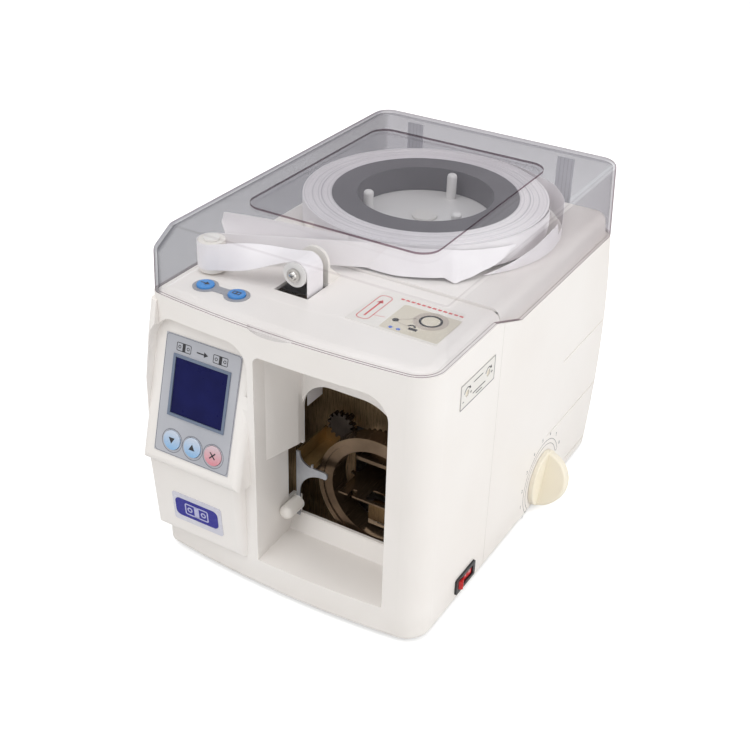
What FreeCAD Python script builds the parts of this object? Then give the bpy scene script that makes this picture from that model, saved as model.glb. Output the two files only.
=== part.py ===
"""Banknote strapping machine: a counter-top unit that wraps a bundle of notes in a paper tape.

The machine is described in casing coordinates: X = 0 in the middle of the casing, Y = 0 at the
casing's front corners with +Y to the back, Z = 0 on the counter.  Every finished piece is then
moved by one shift, so that the origin lies under the middle of the whole machine.
"""

import FreeCAD, Part
import math
import os

import Sketcher
from FreeCAD import Placement, Rotation, Vector

SIZES = {
    # casing
    "casing_width": 230.0,
    "casing_back": 319.0,
    "back_bulge": 14.0,
    "front_bow": 8.0,
    "casing_bottom": 3.0,
    "casing_wall": 2.5,
    "front_corner": 20.0,
    "left_corner": 9.0,
    "rear_corner": 16.0,
    "bottom_round": 5.0,
    "seam_place": 104.0,
    "seam_gap": 0.3,
    "groove_depth": 0.6,
    "groove_width": 1.6,
    "groove_top": 129.5,
    "groove_top_start": 232.0,
    "groove_middle": 67.0,
    "groove_middle_start": 213.0,
    "groove_low": 14.0,
    "groove_low_start": 264.0,
    "vent_pitch": 9.0,
    "vent_width": 3.0,
    "vent_bottom": 128.0,
    "vent_height": 42.0,
    # line where the lid meets the casing, and the decks inside it
    "lid_line_front": 228.5,
    "lid_line_rear": 212.5,
    "ramp_front": 92.0,
    "ramp_back": 134.0,
    "front_deck": 231.0,
    "rear_deck": 233.0,
    "deck_round": 8.0,
    # lid
    "lid_wall": 2.4,
    "lid_gap": 1.5,
    "lid_seat_gap": 0.3,
    "lid_front_edge": 263.0,
    "lid_chamfer_front": 2.0,
    "lid_chamfer_back": 21.5,
    "lid_top": 274.5,
    "lid_draft": 3.0,
    "lid_round": 4.0,
    "panel_half_width": 78.0,
    "panel_aside": 7.5,
    "panel_front": 72.0,
    "panel_back": 268.0,
    "panel_corner": 15.0,
    "panel_rise": 2.0,
    "lip_half_width": 18.0,
    "lip_reach": 5.0,
    "lip_middle": 6.0,
    "lip_thickness": 4.0,
    # lid hinges
    "hinge_spread": 71.0,
    "hinge_aside": 6.0,
    "hinge_height": 214.5,
    "hinge_radius": 3.6,
    "hinge_pin_radius": 1.5,
    "hinge_knuckle": 12.0,
    "hinge_ear": 4.0,
    "running_gap": 0.05,
    "side_gap": 0.3,
    "leaf_width": 15.0,
    "leaf_thickness": 0.8,
    # mouth
    "mouth_left": 21.0,
    "mouth_right": 85.0,
    "mouth_bottom": 29.0,
    "mouth_rise": 14.0,
    "mouth_fall": 2.0,
    "riser_run": 7.0,
    "mouth_top": 208.0,
    "mouth_depth": 42.0,
    "mouth_corner": 20.0,
    "mouth_round": 6.0,
    "window_left": 13.0,
    "window_right": 72.0,
    "window_bottom": 45.0,
    "window_top": 167.0,
    "window_corner": 24.0,
    "window_right_corner": 34.0,
    "hood_bottom": 113.0,
    "hood_back": 36.0,
    "side_slot": 34.0,
    "side_slot_bottom": 61.0,
    "window_low_left": 15.5,
    "peg_radius": 5.7,
    "peg_length": 20.0,
    "peg_height": 57.5,
    # display tier on the left of the front
    "display_tilt": 15.0,
    "display_left": 103.0,
    "display_front": 2.3,
    "display_top": 197.8,
    "display_width": 67.0,
    "display_length": 92.0,
    "overlay_thickness": 0.8,
    "tier_left_margin": 9.0,
    "tier_right_margin": 9.5,
    "tier_top_margin": 12.0,
    "tier_bottom_margin": 13.0,
    "tier_corner": 18.0,
    "tier_round": 6.0,
    "lcd_left": 8.5,
    "lcd_top": 14.0,
    "lcd_width": 51.0,
    "lcd_length": 47.5,
    "lcd_frame": 2.2,
    "lcd_lap": 0.8,
    "key_radius": 7.5,
    "key_row": 80.0,
    "key_pitch": 18.7,
    "first_key": 15.5,
    "key_gap": 0.25,
    "key_rise": 1.0,
    "key_travel": 0.8,
    "stop_flange": 1.2,
    "board_depth": 7.0,
    "board_thickness": 1.6,
    "board_margin": 4.0,
    "switch_rise": 1.0,
    # rounded cheek of the casing on the tier's left
    "cheek_width": 7.0,
    "cheek_foot": 15.5,
    "cheek_belly": 14.5,
    "cheek_top": 8.0,
    "cheek_round": 5.0,
    # badge tier under it
    "badge_tier_front": 18.0,
    "badge_tier_foot": 12.0,
    "badge_tier_bottom": 28.0,
    "badge_tier_right": 31.0,
    "badge_width": 46.0,
    "badge_height": 27.0,
    "badge_left": 94.5,
    "badge_bottom": 43.0,
    "badge_thickness": 0.5,
    "badge_corner": 2.5,
    # deck controls and label
    "button_radius": 6.5,
    "button_y": 23.0,
    "button_first": 83.0,
    "button_second": 55.5,
    "button_rise": 2.4,
    "button_travel": 1.0,
    "pad_thickness": 0.6,
    "pad_margin": 9.5,
    "pad_waist": 8.0,
    "pad_blend": 3.0,
    "deck_label_left": 24.0,
    "deck_label_width": 72.0,
    "deck_label_front": 38.0,
    "deck_label_depth": 50.0,
    "deck_label_taper": 4.0,
    "label_corner": 1.5,
    "label_thickness": 0.4,
    # tape slot and its turning roller
    "slot_left": 40.0,
    "slot_right": 11.0,
    "slot_front": 46.0,
    "slot_back": 73.0,
    "turn_radius": 9.5,
    "turn_x": 23.5,
    "turn_z": 246.0,
    "turn_front": 48.0,
    "turn_back": 70.0,
    "bracket_sheet": 2.5,
    "bracket_foot": 16.0,
    "stop_post_x": 52.0,
    "stop_post_y": 110.0,
    "post_roller_radius": 10.0,
    "post_roller_x": 94.0,
    "post_roller_y": 46.0,
    "tape_width": 20.0,
    "tape_thickness": 0.5,
    "spindle_radius": 3.0,
    # roll of tape
    "roll_x": 7.0,
    "roll_y": 208.0,
    "roll_radius": 97.0,
    "core_outer": 74.0,
    "core_inner": 54.0,
    "roll_bottom": 236.0,
    "reel_post_ring": 45.0,
    "reel_post_radius": 4.0,
    "reel_post_top": 257.0,
    "reel_seat_radius": 62.0,
    "touch_gap": 0.3,
    # side fittings
    "knob_y": 209.0,
    "knob_z": 28.0,
    "knob_radius": 24.5,
    "knob_reach": 24.0,
    "knob_base": 4.0,
    "knob_grip": 11.0,
    "pot_shaft_radius": 3.0,
    "pot_radius": 12.0,
    "pot_depth": 14.0,
    "pot_bush_radius": 4.5,
    "knob_lean": 70.0,
    "switch_y": 70.5,
    "switch_z": 18.5,
    "switch_length": 31.0,
    "switch_height": 14.0,
    "switch_flange": 1.6,
    "switch_depth": 17.0,
    "switch_wall": 1.5,
    "rocker_depth": 2.6,
    "rocker_reach": 5.2,
    "rocker_tilt": 10.0,
    "trunnion_radius": 1.2,
    "adjust_front": 40.0,
    "adjust_back": 92.0,
    "adjust_bottom": 185.0,
    "adjust_top": 205.0,
    "trim_hole": 2.8,
    "trim_inset": 10.0,
    # base
    "base_thickness": 1.5,
    "base_level": 4.0,
    "base_gap": 0.4,
    "foot_radius": 9.0,
    "foot_inset": 20.0,
    "screw_radius": 1.5,
    "screw_head": 2.8,
    "screw_head_height": 2.0,
    "boss_radius": 6.0,
    "pillar_radius": 3.0,
    "boss_height": 30.0,
    # frame plates and ring
    "frame_front": 45.0,
    "frame_back": 79.0,
    "frame_plate": 1.5,
    "frame_half_width": 102.0,
    "rear_half_width": 94.0,
    "frame_low_rod": 12.0,
    "rear_window_bottom": 30.0,
    "rear_window_top": 114.5,
    "frame_top": 212.0,
    "frame_foot": 14.0,
    "rod_radius": 3.0,
    "ring_x": 48.0,
    "ring_z": 82.0,
    "ring_inner": 38.0,
    "ring_outer": 45.4,
    "ring_depth": 13.0,
    "ring_gap": 0.3,
    "track_wall": 4.0,
    "track_gap": 1.0,
    "clip_half": 3.0,
    "gear_module": 1.5,
    "gear_width": 5.0,
    "tooth_clearance": 0.25,
    "shaft_radius": 2.0,
    "motor_radius": 16.0,
    "motor_length": 42.0,
    # tape feed
    "feed_radius": 11.0,
    "pinch_radius": 8.0,
    "feed_height": 178.0,
    "motor_aside": 19.0,
    "motor_headroom": 3.5,
    "tape_end": 140.0,
    # note table, guides and press
    "table_left": 14.0,
    "table_right": 81.0,
    "table_height": 72.0,
    "table_front": 50.0,
    "table_notch": 4.0,
    "table_back": 152.0,
    "sheet": 1.5,
    "guide_height": 92.0,
    "guide_rise": 13.0,
    "guide_low": 45.0,
    "guide_branch": 26.0,
    "guide_hollow": 10.5,
    "guide_sweep": 20.0,
    "press_half_width": 22.0,
    "bundle_least": 8.0,
    "press_travel": 28.0,
    "press_sheet": 3.0,
    "rack_width": 8.0,
    "rack_clear": 3.5,
    "rack_top": 198.0,
    "pinion_height": 158.0,
    # sealing head
    "head_half_width": 10.0,
    "head_top": 66.5,
    "head_lift": 4.0,
    "head_tall": 14.0,
    "arm_thickness": 4.0,
    "plunger_radius": 4.0,
    "blade_x": 60.0,
    "blade_thickness": 2.0,
    "solenoid_size": 24.0,
    # electrics at the back
    "inlet_x": 66.0,
    "inlet_z": 50.0,
    "inlet_width": 48.0,
    "inlet_height": 27.0,
    "inlet_flange": 9.0,
    "inlet_depth": 26.0,
    "socket_depth": 16.0,
    "transformer_size": 66.0,
    "main_board_left": 5.0,
    "main_board_width": 88.0,
    "main_board_front": 158.0,
    "main_board_length": 86.0,
    "main_board_rise": 6.0,
}

GEAR_TEETH = {"ring": 62, "ring_pinion": 14, "feed": 24, "feed_pinion": 12, "press_pinion": 12}
ADDENDUM = 0.7  # tooth height outside the pitch line, in modules
DEDENDUM = 1.0
VENT_SLOTS = 11

# The bigger parts on the main board: place across and back as shares of it, then three sizes.
BOARD_PARTS = [
    (0.08, 0.08, 16.0, 20.0, 15.0), (0.32, 0.08, 16.0, 20.0, 15.0), (0.60, 0.10, 14.0, 14.0, 22.0),
    (0.12, 0.45, 34.0, 12.0, 4.0), (0.62, 0.42, 22.0, 22.0, 3.0), (0.10, 0.78, 12.0, 12.0, 10.0),
    (0.34, 0.78, 12.0, 12.0, 10.0), (0.60, 0.76, 26.0, 9.0, 11.0),
]

doc = FreeCAD.newDocument("StrappingMachine")
sheet = doc.addObject("Spreadsheet::Sheet", "Sizes")


# ---------------------------------------------------------------- sizes and formulas
class Size:
    """A length: its value now, and the formula by which the document works it out."""

    def __init__(self, value, text):
        self.value = value
        self.text = text

    def _join(self, other, sign, value):
        return Size(value, f"({self.text} {sign} {formula(other)})")

    def __add__(self, other):
        return self._join(other, "+", self.value + number(other))

    def __sub__(self, other):
        return self._join(other, "-", self.value - number(other))

    def __mul__(self, other):
        return self._join(other, "*", self.value * number(other))

    def __truediv__(self, other):
        return self._join(other, "/", self.value / number(other))

    def __radd__(self, other):
        return Size(number(other) + self.value, f"({formula(other)} + {self.text})")

    def __rsub__(self, other):
        return Size(number(other) - self.value, f"({formula(other)} - {self.text})")

    def __rmul__(self, other):
        return Size(number(other) * self.value, f"({formula(other)} * {self.text})")

    def __neg__(self):
        return Size(-self.value, f"(0 - {self.text})")


def number(length):
    return length.value if isinstance(length, Size) else float(length)


def formula(length):
    return length.text if isinstance(length, Size) else repr(float(length))


def root(length):
    return Size(math.sqrt(number(length)), f"sqrt({formula(length)})")


def sine(degrees):
    return Size(math.sin(math.radians(number(degrees))), f"sin({formula(degrees)} * 1 deg)")


def cosine(degrees):
    return Size(math.cos(math.radians(number(degrees))), f"cos({formula(degrees)} * 1 deg)")


class Named:
    """The driving sizes by name, such as s.casing_width."""


s = Named()
for row, (alias, value) in enumerate(SIZES.items(), start=1):
    sheet.set(f"A{row}", alias)
    sheet.set(f"B{row}", repr(value))
    sheet.setAlias(f"B{row}", alias)
    setattr(s, alias, Size(value, f"Sizes.{alias}"))
doc.recompute()


# ---------------------------------------------------------------- helpers
places = {}
finished = {}


def bind(thing, prop, length):
    """Sets a number now and the formula that keeps it."""
    if isinstance(length, Size):
        thing.setExpression(prop, length.text)
    elif "." not in prop:
        setattr(thing, prop, length)
    else:
        thing.setExpression(prop, formula(length))


def put(thing, place, rotation=Rotation()):
    thing.Placement = Placement(Vector(*[number(value) for value in place]), rotation)
    for axis, value in zip("xyz", place):
        bind(thing, f"Placement.Base.{axis}", value)
    places[thing.Name] = place
    return thing


def box(name, x, y, z):
    """A block between two values along each axis."""
    block = doc.addObject("Part::Box", name)
    for prop, (low, high) in zip(("Length", "Width", "Height"), (x, y, z)):
        bind(block, prop, high - low)
    return put(block, (x[0], y[0], z[0]))


TURNS = {"x": Rotation(Vector(0, 1, 0), 90), "y": Rotation(Vector(1, 0, 0), -90), "z": Rotation()}


def rod(name, axis, centre, radius, low, high):
    """A cylinder along an axis from low to high; centre gives its two other coordinates."""
    round_bar = doc.addObject("Part::Cylinder", name)
    bind(round_bar, "Radius", radius)
    bind(round_bar, "Height", high - low)
    place = list(centre)
    place.insert("xyz".index(axis), low)
    return put(round_bar, place, TURNS[axis])


def cut(name, base, tools):
    """The base with every tool taken away from it."""
    result = doc.addObject("Part::Cut", name)
    result.Base = base
    result.Tool = tools[0] if len(tools) == 1 else fuse(name + "_tools", tools)
    return result


def fuse(name, parts):
    result = doc.addObject("Part::MultiFuse", name)
    result.Shapes = parts
    return result


def common(name, parts):
    result = doc.addObject("Part::MultiCommon", name)
    result.Shapes = parts
    return result


def group(name, parts):
    """Separate solids kept in one piece, such as a set of equal screws."""
    result = doc.addObject("Part::Compound", name)
    result.Links = parts
    return result


def rounded(name, base, radius, pick):
    """The base with a fillet on each edge that pick accepts."""
    doc.recompute()
    result = doc.addObject("Part::Fillet", name)
    result.Base = base
    edges = enumerate(base.Shape.Edges, start=1)
    result.Edges = [(place, number(radius), number(radius)) for place, edge in edges if pick(edge)]
    return result


def prism(name, plane, points, low, high):
    """A PartDesign body: an outline on a plane (YZ, XZ or XY), padded from low to high."""
    body = doc.addObject("PartDesign::Body", name)
    origin_plane = [one for one in body.Origin.OriginFeatures if one.Role == f"{plane}_Plane"][0]
    sketch = body.newObject("Sketcher::SketchObject", name + "_outline")
    sketch.AttachmentSupport = [(origin_plane, "")]
    sketch.MapMode = "FlatFace"
    bind(sketch, "AttachmentOffset.Base.z", -high if plane == "XZ" else low)
    spots = [Vector(number(u), number(v), 0) for u, v in points]
    for place, spot in enumerate(spots):
        sketch.addGeometry(Part.LineSegment(spot, spots[(place + 1) % len(spots)]), False)
    for place in range(len(spots)):
        following = (place + 1) % len(spots)
        sketch.addConstraint(Sketcher.Constraint("Coincident", place, 2, following, 1))
    for place, point in enumerate(points):
        for kind, length in zip(("DistanceX", "DistanceY"), point):
            limit = Sketcher.Constraint(kind, -1, 1, place, 1, number(length))
            index = sketch.addConstraint(limit)
            bind(sketch, f"Constraints[{index}]", Size(number(length), formula(length)))
    pad = body.newObject("PartDesign::Pad", name + "_pad")
    pad.Profile = sketch
    bind(pad, "Length", high - low)
    return body


def soften(body, radius, pick):
    """Adds a fillet feature to a body, on each edge that pick accepts."""
    doc.recompute()
    base = body.Tip
    chosen = [f"Edge{place}" for place, edge in enumerate(base.Shape.Edges, start=1) if pick(edge)]
    fillet = body.newObject("PartDesign::Fillet", f"{body.Name}_fillet")
    fillet.Base = (base, chosen)
    bind(fillet, "Radius", radius)
    body.Tip = fillet
    return body


def middle(edge):
    return edge.CenterOfMass


def along(axis):
    """A test for straight edges that run along an axis."""
    heading = {"x": Vector(1, 0, 0), "y": Vector(0, 1, 0), "z": Vector(0, 0, 1)}[axis]

    def test(edge):
        if len(edge.Vertexes) < 2 or not isinstance(edge.Curve, Part.Line):
            return False
        return abs((edge.Curve.Direction * heading)) > 0.999

    return test


def shaped(name, shape):
    """A piece whose shape is worked out from the sheet by Part's own functions."""
    feature = doc.addObject("Part::Feature", name)
    feature.Shape = shape
    return feature


def finish(label, thing):
    """Gives a piece its name and moves it into the machine's own frame."""
    place = places.get(thing.Name, (0.0, 0.0, 0.0))
    for axis, value, shift in zip("xyz", place, SHIFT):
        bind(thing, f"Placement.Base.{axis}", value + shift)
    thing.Label = label
    finished[label] = thing
    return thing


half_width = s.casing_width / 2
front_reach = s.display_length + s.tier_bottom_margin
tier_low_y = s.display_front - front_reach * sine(s.display_tilt)
SHIFT = (-s.knob_reach / 2, -(s.casing_back + s.back_bulge + tier_low_y) / 2, Size(0.0, "0"))

PAST = 50.0  # how far a cutting tool runs past the material


# ---------------------------------------------------------------- casing
def bow_radius(chord, rise):
    """The radius of an arc from its chord and its rise."""
    return (chord * chord / 4 + rise * rise) / (2 * rise)


front_arc = bow_radius(s.casing_width, s.front_bow)
back_arc = bow_radius(s.lid_line_rear - s.casing_bottom, s.back_bulge)
back_centre = (s.casing_back + s.back_bulge - back_arc, (s.lid_line_rear + s.casing_bottom) / 2)
seam_front = s.seam_place - s.seam_gap
lid_fall = (s.lid_line_front - s.lid_line_rear) / (s.ramp_back - s.ramp_front)
shoulder_inset = s.lid_wall + s.lid_gap
shoulder_foot = s.lid_line_rear - s.deck_round * 2


def bowed(name, block, inset):
    """A block trimmed to the bowed front and back of the casing, set in by inset."""
    width = half_width + PAST
    front = rod(name + "_front_bow", "z", (0.0, front_arc - s.front_bow), front_arc - inset,
                -PAST, s.lid_top + PAST)
    back = rod(name + "_back_bow", "x", back_centre, back_arc - inset, -width, width)
    return common(name + "_form", [block, front, back])


def with_corners(name, form, inset):
    """Rounds the upright corners of a bowed form."""
    side = number(half_width - inset)
    corners = [
        (s.front_corner - inset, lambda spot: spot.x > side - 1 and spot.y < number(s.front_corner)),
        (s.left_corner - inset, lambda spot: spot.x < 1 - side and spot.y < number(s.front_corner)),
        (s.rear_corner - inset,
         lambda spot: abs(spot.x) > side - 1 and spot.y > number(s.casing_back) - 12),
    ]
    doc.recompute()
    result = doc.addObject("Part::Fillet", name)
    result.Base = form
    chosen = []
    for place, edge in enumerate(form.Shape.Edges, start=1):
        spot = middle(edge)
        upright = edge.BoundBox.ZLength > edge.BoundBox.YLength and edge.BoundBox.XLength < 1
        for radius, fits in corners:
            if upright and fits(spot):
                chosen.append((place, number(radius), number(radius)))
    result.Edges = chosen
    return result


def casing_block(name, profile, inset):
    block = prism(name, "YZ", profile, -(half_width - inset), half_width - inset)
    return with_corners(name + "_rounded", bowed(name, block, inset), inset)


def lid_line(y):
    """The height of the line where the lid meets the casing."""
    if number(y) <= number(s.ramp_front):
        return s.lid_line_front
    if number(y) >= number(s.ramp_back):
        return s.lid_line_rear
    return s.lid_line_front - lid_fall * (y - s.ramp_front)


def lower_profile(low_y, high_y, inset, bottom):
    """The side outline of the casing under the lid line, between two values of y."""
    turns = [y for y in (s.ramp_back, s.ramp_front) if number(low_y) < number(y) < number(high_y)]
    top = [(y, lid_line(y) - inset) for y in [high_y] + turns + [low_y]]
    return [(low_y, bottom), (high_y, bottom)] + top


def level_profile(low_y, high_y, bottom, top):
    return [(low_y, bottom), (high_y, bottom), (high_y, top), (low_y, top)]


def housing_shell(name, low_y, high_y, seam, deck):
    """One half of the casing: an outer wall, the ledge for the lid and the deck inside it."""
    wall = s.casing_wall
    bottom = number(s.casing_bottom)
    lower = casing_block(name + "_lower", lower_profile(low_y, high_y, 0.0, s.casing_bottom), 0.0)
    lower = rounded(
        name + "_lower_rounded", lower, s.bottom_round,
        lambda edge: edge.BoundBox.ZMax < bottom + 0.1 and abs(middle(edge).y - number(seam)) > 1,
    )
    top = number(deck)
    deck_block = casing_block(
        name + "_deck", level_profile(low_y, high_y, shoulder_foot, deck), shoulder_inset)
    deck_block = rounded(
        name + "_deck_rounded", deck_block, s.deck_round,
        lambda edge: edge.BoundBox.ZMin > top - 0.1 and abs(middle(edge).y - number(seam)) > 1,
    )
    outer = fuse(name + "_outer", [lower, deck_block])
    open_low, open_high = low_y, high_y
    if number(seam) == number(high_y):
        open_high = high_y + s.front_corner
    else:
        open_low = low_y - s.front_corner
    inner = casing_block(
        name + "_room",
        lower_profile(open_low, open_high, wall, s.casing_bottom - PAST), wall)
    deck_room = casing_block(
        name + "_deck_room",
        level_profile(open_low, open_high, shoulder_foot - wall, deck - wall),
        shoulder_inset + wall)
    return cut(name + "_shell", outer, [inner, deck_room]), lower


def screw_places(ys):
    side = half_width - s.casing_wall - s.boss_radius + 1.0
    return [(x, y) for x in (-side, side) for y in ys]


def bosses(name, ys):
    low = s.base_level + s.base_thickness
    made = [rod(f"{name}_boss_{n}", "z", place, s.boss_radius, low, low + s.boss_height)
            for n, place in enumerate(screw_places(ys))]
    bores = [rod(f"{name}_bore_{n}", "z", place, s.screw_radius + s.running_gap, low - 1.0,
                 low + s.boss_height - s.casing_wall)
             for n, place in enumerate(screw_places(ys))]
    return made, bores


# A point of the display tier: u to the right, v down the slope, w out of it.
def tier_point(u, v, w):
    lean, rise = sine(s.display_tilt), cosine(s.display_tilt)
    return (u - s.display_left, s.display_front - v * lean - w * rise,
            s.display_top - v * rise + w * lean)


def tier_box(name, u, v, w):
    """A block in the display tier's own directions."""
    block = doc.addObject("Part::Box", name)
    for prop, (low, high) in zip(("Length", "Width", "Height"), (u, w, v)):
        bind(block, prop, high - low)
    put(block, tier_point(u[0], v[1], w[1]), Rotation(Vector(-1, 0, 0), number(s.display_tilt)))
    bind(block, "Placement.Rotation.Angle", s.display_tilt)
    return block


def tier_rod(name, u, v, radius, low, high):
    """A cylinder square to the display tier."""
    round_bar = doc.addObject("Part::Cylinder", name)
    bind(round_bar, "Radius", radius)
    bind(round_bar, "Height", high - low)
    put(round_bar, tier_point(u, v, low), Rotation(Vector(1, 0, 0), 90 - number(s.display_tilt)))
    bind(round_bar, "Placement.Rotation.Angle", 90.0 - s.display_tilt)
    return round_bar


tier_left = -half_width
tier_right = s.display_width + s.tier_right_margin - s.display_left
tier_root = s.left_corner + s.casing_wall * 2
tier_brow = s.tier_top_margin + s.casing_wall * 3


def tier_profile(inset):
    """The side outline of the display tier, set in by inset."""
    _, low_y, low_z = tier_point(0.0, front_reach, -inset)
    _, high_y, high_z = tier_point(0.0, -tier_brow, -inset)
    slope = sine(s.display_tilt) / cosine(s.display_tilt)
    return [
        (tier_root + inset, low_z + inset), (tier_root + inset, high_z - inset),
        (high_y - inset * slope, high_z - inset), (low_y + inset * slope, low_z + inset),
    ]


def badge_profile(inset):
    return [
        (tier_root + inset, s.badge_tier_bottom + inset),
        (tier_root + inset, tier_point(0.0, front_reach, 0.0)[2] + s.casing_wall / 2),
        (inset - s.badge_tier_front, tier_point(0.0, front_reach, 0.0)[2] + s.casing_wall / 2),
        (inset - s.badge_tier_foot, s.badge_tier_bottom + inset),
    ]


def front_tiers(shell, outer_form):
    """Adds the two sloping tiers on the left of the front and their openings."""
    wall = s.casing_wall
    low_z = number(tier_point(0.0, front_reach, 0.0)[2])
    slope = math.radians(number(s.display_tilt))
    normal = Vector(0, -math.cos(slope), math.sin(slope))
    on_slope = Vector(*[number(value) for value in tier_point(0.0, 0.0, 0.0)])

    def proud(edge):
        return all(abs((spot.Point - on_slope) * normal) < 0.01 for spot in edge.Vertexes)

    def badge_front(edge):
        return middle(edge).y < 1 - number(s.badge_tier_foot) and middle(edge).z < low_z - 1

    display = prism("display_tier", "YZ", tier_profile(0.0), tier_left, tier_right)
    soften(display, s.tier_round,
           lambda edge: proud(edge) and middle(edge).z < number(s.display_top))
    badge = prism("badge_tier", "YZ", badge_profile(0.0), tier_left, -s.badge_tier_right)
    soften(badge, s.tier_round, badge_front)
    display_room = prism("display_tier_room", "YZ", tier_profile(wall),
                         tier_left + wall, tier_right - wall)
    badge_room = prism("badge_tier_room", "YZ", badge_profile(wall),
                       tier_left + wall, -s.badge_tier_right - wall)
    sunk = tier_box("tier_sunk", (-s.tier_left_margin, s.display_width + s.tier_right_margin),
                    (-s.tier_top_margin, s.display_length), (0.0, PAST))
    sunk = rounded("tier_sunk_arch", sunk, s.tier_corner,
                   lambda edge: edge.Length > PAST - 1 and edge.Length < PAST + 1
                   and middle(edge).z > number(s.display_top))
    lcd_cut = tier_box("lcd_cut", (s.lcd_left + s.lcd_lap, s.lcd_left + s.lcd_width - s.lcd_lap),
                       (s.lcd_top + s.lcd_lap, s.lcd_top + s.lcd_length - s.lcd_lap), (-wall * 2, wall))
    key_cuts = [tier_rod(f"key_cut_{n}", s.first_key + n * s.key_pitch, s.key_row,
                         s.key_radius + s.key_gap, -wall * 2, wall) for n in range(3)]
    foot = tier_point(0.0, front_reach, 0.0)[2] + s.tier_round
    height = s.front_deck - s.deck_round - foot
    cheek = prism("left_cheek", "YZ", [
        (tier_root, foot), (tier_root, foot + height), (-s.left_corner / 4, foot + height),
        (-s.cheek_top, foot + height * 0.8), (-s.cheek_belly, foot + height * 0.5), (-s.cheek_foot, foot)],
        tier_left, tier_left + s.cheek_width)
    soften(cheek, s.cheek_round, lambda edge: middle(edge).x < number(tier_left) + 0.1
           and middle(edge).y < 0 and edge.BoundBox.ZLength > 5)
    brow = box("tier_brow", (tier_left, tier_right), (-PAST, tier_root),
               (s.display_top, tier_point(0.0, -tier_brow, 0.0)[2]))
    brow = common("tier_brow_trimmed", [brow, outer_form])
    solid = fuse("front_with_tiers", [shell, display, badge, brow, cheek])
    return cut("front_tiers_cut", solid, [display_room, badge_room, sunk, lcd_cut] + key_cuts)


def mouth(shell, outer_form):
    """Adds the recess that the notes go into, with the opening in its back wall."""
    wall = s.casing_wall
    walls = box("mouth_walls", (-s.mouth_left - wall, s.mouth_right + wall),
                (-PAST, s.mouth_depth + wall), (s.mouth_bottom - wall, s.mouth_top + wall))
    walls = common("mouth_walls_trimmed", [walls, outer_form])
    void = prism("mouth_void", "YZ",
                 [(-PAST, s.mouth_bottom - s.mouth_fall),
                  (s.mouth_depth - s.riser_run, s.mouth_bottom + s.mouth_fall),
                  (s.mouth_depth, s.mouth_bottom + s.mouth_rise),
                  (s.mouth_depth, s.mouth_top), (-PAST, s.mouth_top)],
                 -s.mouth_left, s.mouth_right)
    long_edge = number(s.mouth_depth)
    soften(void, s.mouth_corner, lambda edge: along("y")(edge) and middle(edge).x > 0
           and middle(edge).z > number(s.mouth_top) - 1)
    soften(void, s.mouth_round, lambda edge: edge.BoundBox.YLength > long_edge
           and middle(edge).x < 0 and middle(edge).z > number(s.mouth_top) - 1)
    window = prism("mouth_window", "XZ", [
        (-s.window_low_left, s.window_bottom), (s.window_right, s.window_bottom),
        (s.window_right, s.window_top), (-s.window_left, s.window_top),
        (-s.window_left, s.hood_bottom - wall), (1.0 - s.mouth_left, s.hood_bottom - wall),
        (1.0 - s.mouth_left, s.side_slot_bottom), (-s.window_low_left, s.side_slot_bottom)],
        s.mouth_depth - 1.0, s.mouth_depth + PAST)
    soften(window, s.window_corner, lambda edge: along("y")(edge) and middle(edge).x < 0
           and middle(edge).z > number(s.window_top) - 1)
    soften(window, s.window_right_corner, lambda edge: along("y")(edge) and middle(edge).x > 0
           and middle(edge).z > number(s.window_top) - 1)
    hood = prism("mouth_hood", "XY", [
        (-s.mouth_left - wall / 2, s.mouth_round), (-s.mouth_left, s.mouth_round),
        (-s.window_left, s.hood_back), (-s.window_left, s.mouth_depth + wall / 2),
        (-s.mouth_left - wall / 2, s.mouth_depth + wall / 2)],
        s.hood_bottom, s.mouth_top + wall / 2)
    soften(hood, s.mouth_round, lambda edge: along("z")(edge) and middle(edge).y < long_edge - 1
           and middle(edge).x > -number(s.window_left) - 0.1)
    slot = box("mouth_side_slot", (-s.mouth_left - wall - 1.0, 1.0 - s.mouth_left),
               (s.side_slot, s.mouth_depth + PAST),
               (s.side_slot_bottom, s.hood_bottom - wall))
    hollowed = cut("front_mouth_cut", fuse("front_with_mouth", [shell, walls]), [void])
    return cut("front_window_cut", fuse("front_with_hood", [hollowed, hood]), [window, slot])


front_bosses = (s.foot_inset + 2.0, seam_front - s.boss_radius * 2)
rear_bosses = (s.seam_place + s.foot_inset, s.casing_back - s.foot_inset * 2)


def front_housing():
    shell, outer_form = housing_shell("front", -PAST, seam_front, seam_front, s.front_deck)
    shell = front_tiers(shell, outer_form)
    shell = mouth(shell, outer_form)
    made, bores = bosses("front", front_bosses)
    deck_low = s.front_deck - s.casing_wall - s.deck_round
    tools = bores + [
        box("tape_slot", (-s.slot_left, -s.slot_right), (s.slot_front, s.slot_back),
            (deck_low, s.front_deck + PAST)),
        rod("button_hole_1", "z", (-s.button_first, s.button_y), s.button_radius + s.key_gap,
            deck_low, s.front_deck + PAST),
        rod("button_hole_2", "z", (-s.button_second, s.button_y), s.button_radius + s.key_gap,
            deck_low, s.front_deck + PAST),
        box("switch_cut", (half_width - PAST / 5, half_width + PAST),
            (s.switch_y - switch_body_y, s.switch_y + switch_body_y),
            (s.switch_z - switch_body_z, s.switch_z + switch_body_z)),
    ]
    for n, (y, z) in enumerate(trim_places()):
        tools.append(rod(f"trim_hole_{n}", "x", (y, z), s.trim_hole, half_width - PAST / 5,
                         half_width + PAST))
    solid = fuse("front_bossed", [shell] + made + board_posts())
    finish("front_housing", cut("front_housing", solid, tools))


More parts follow.
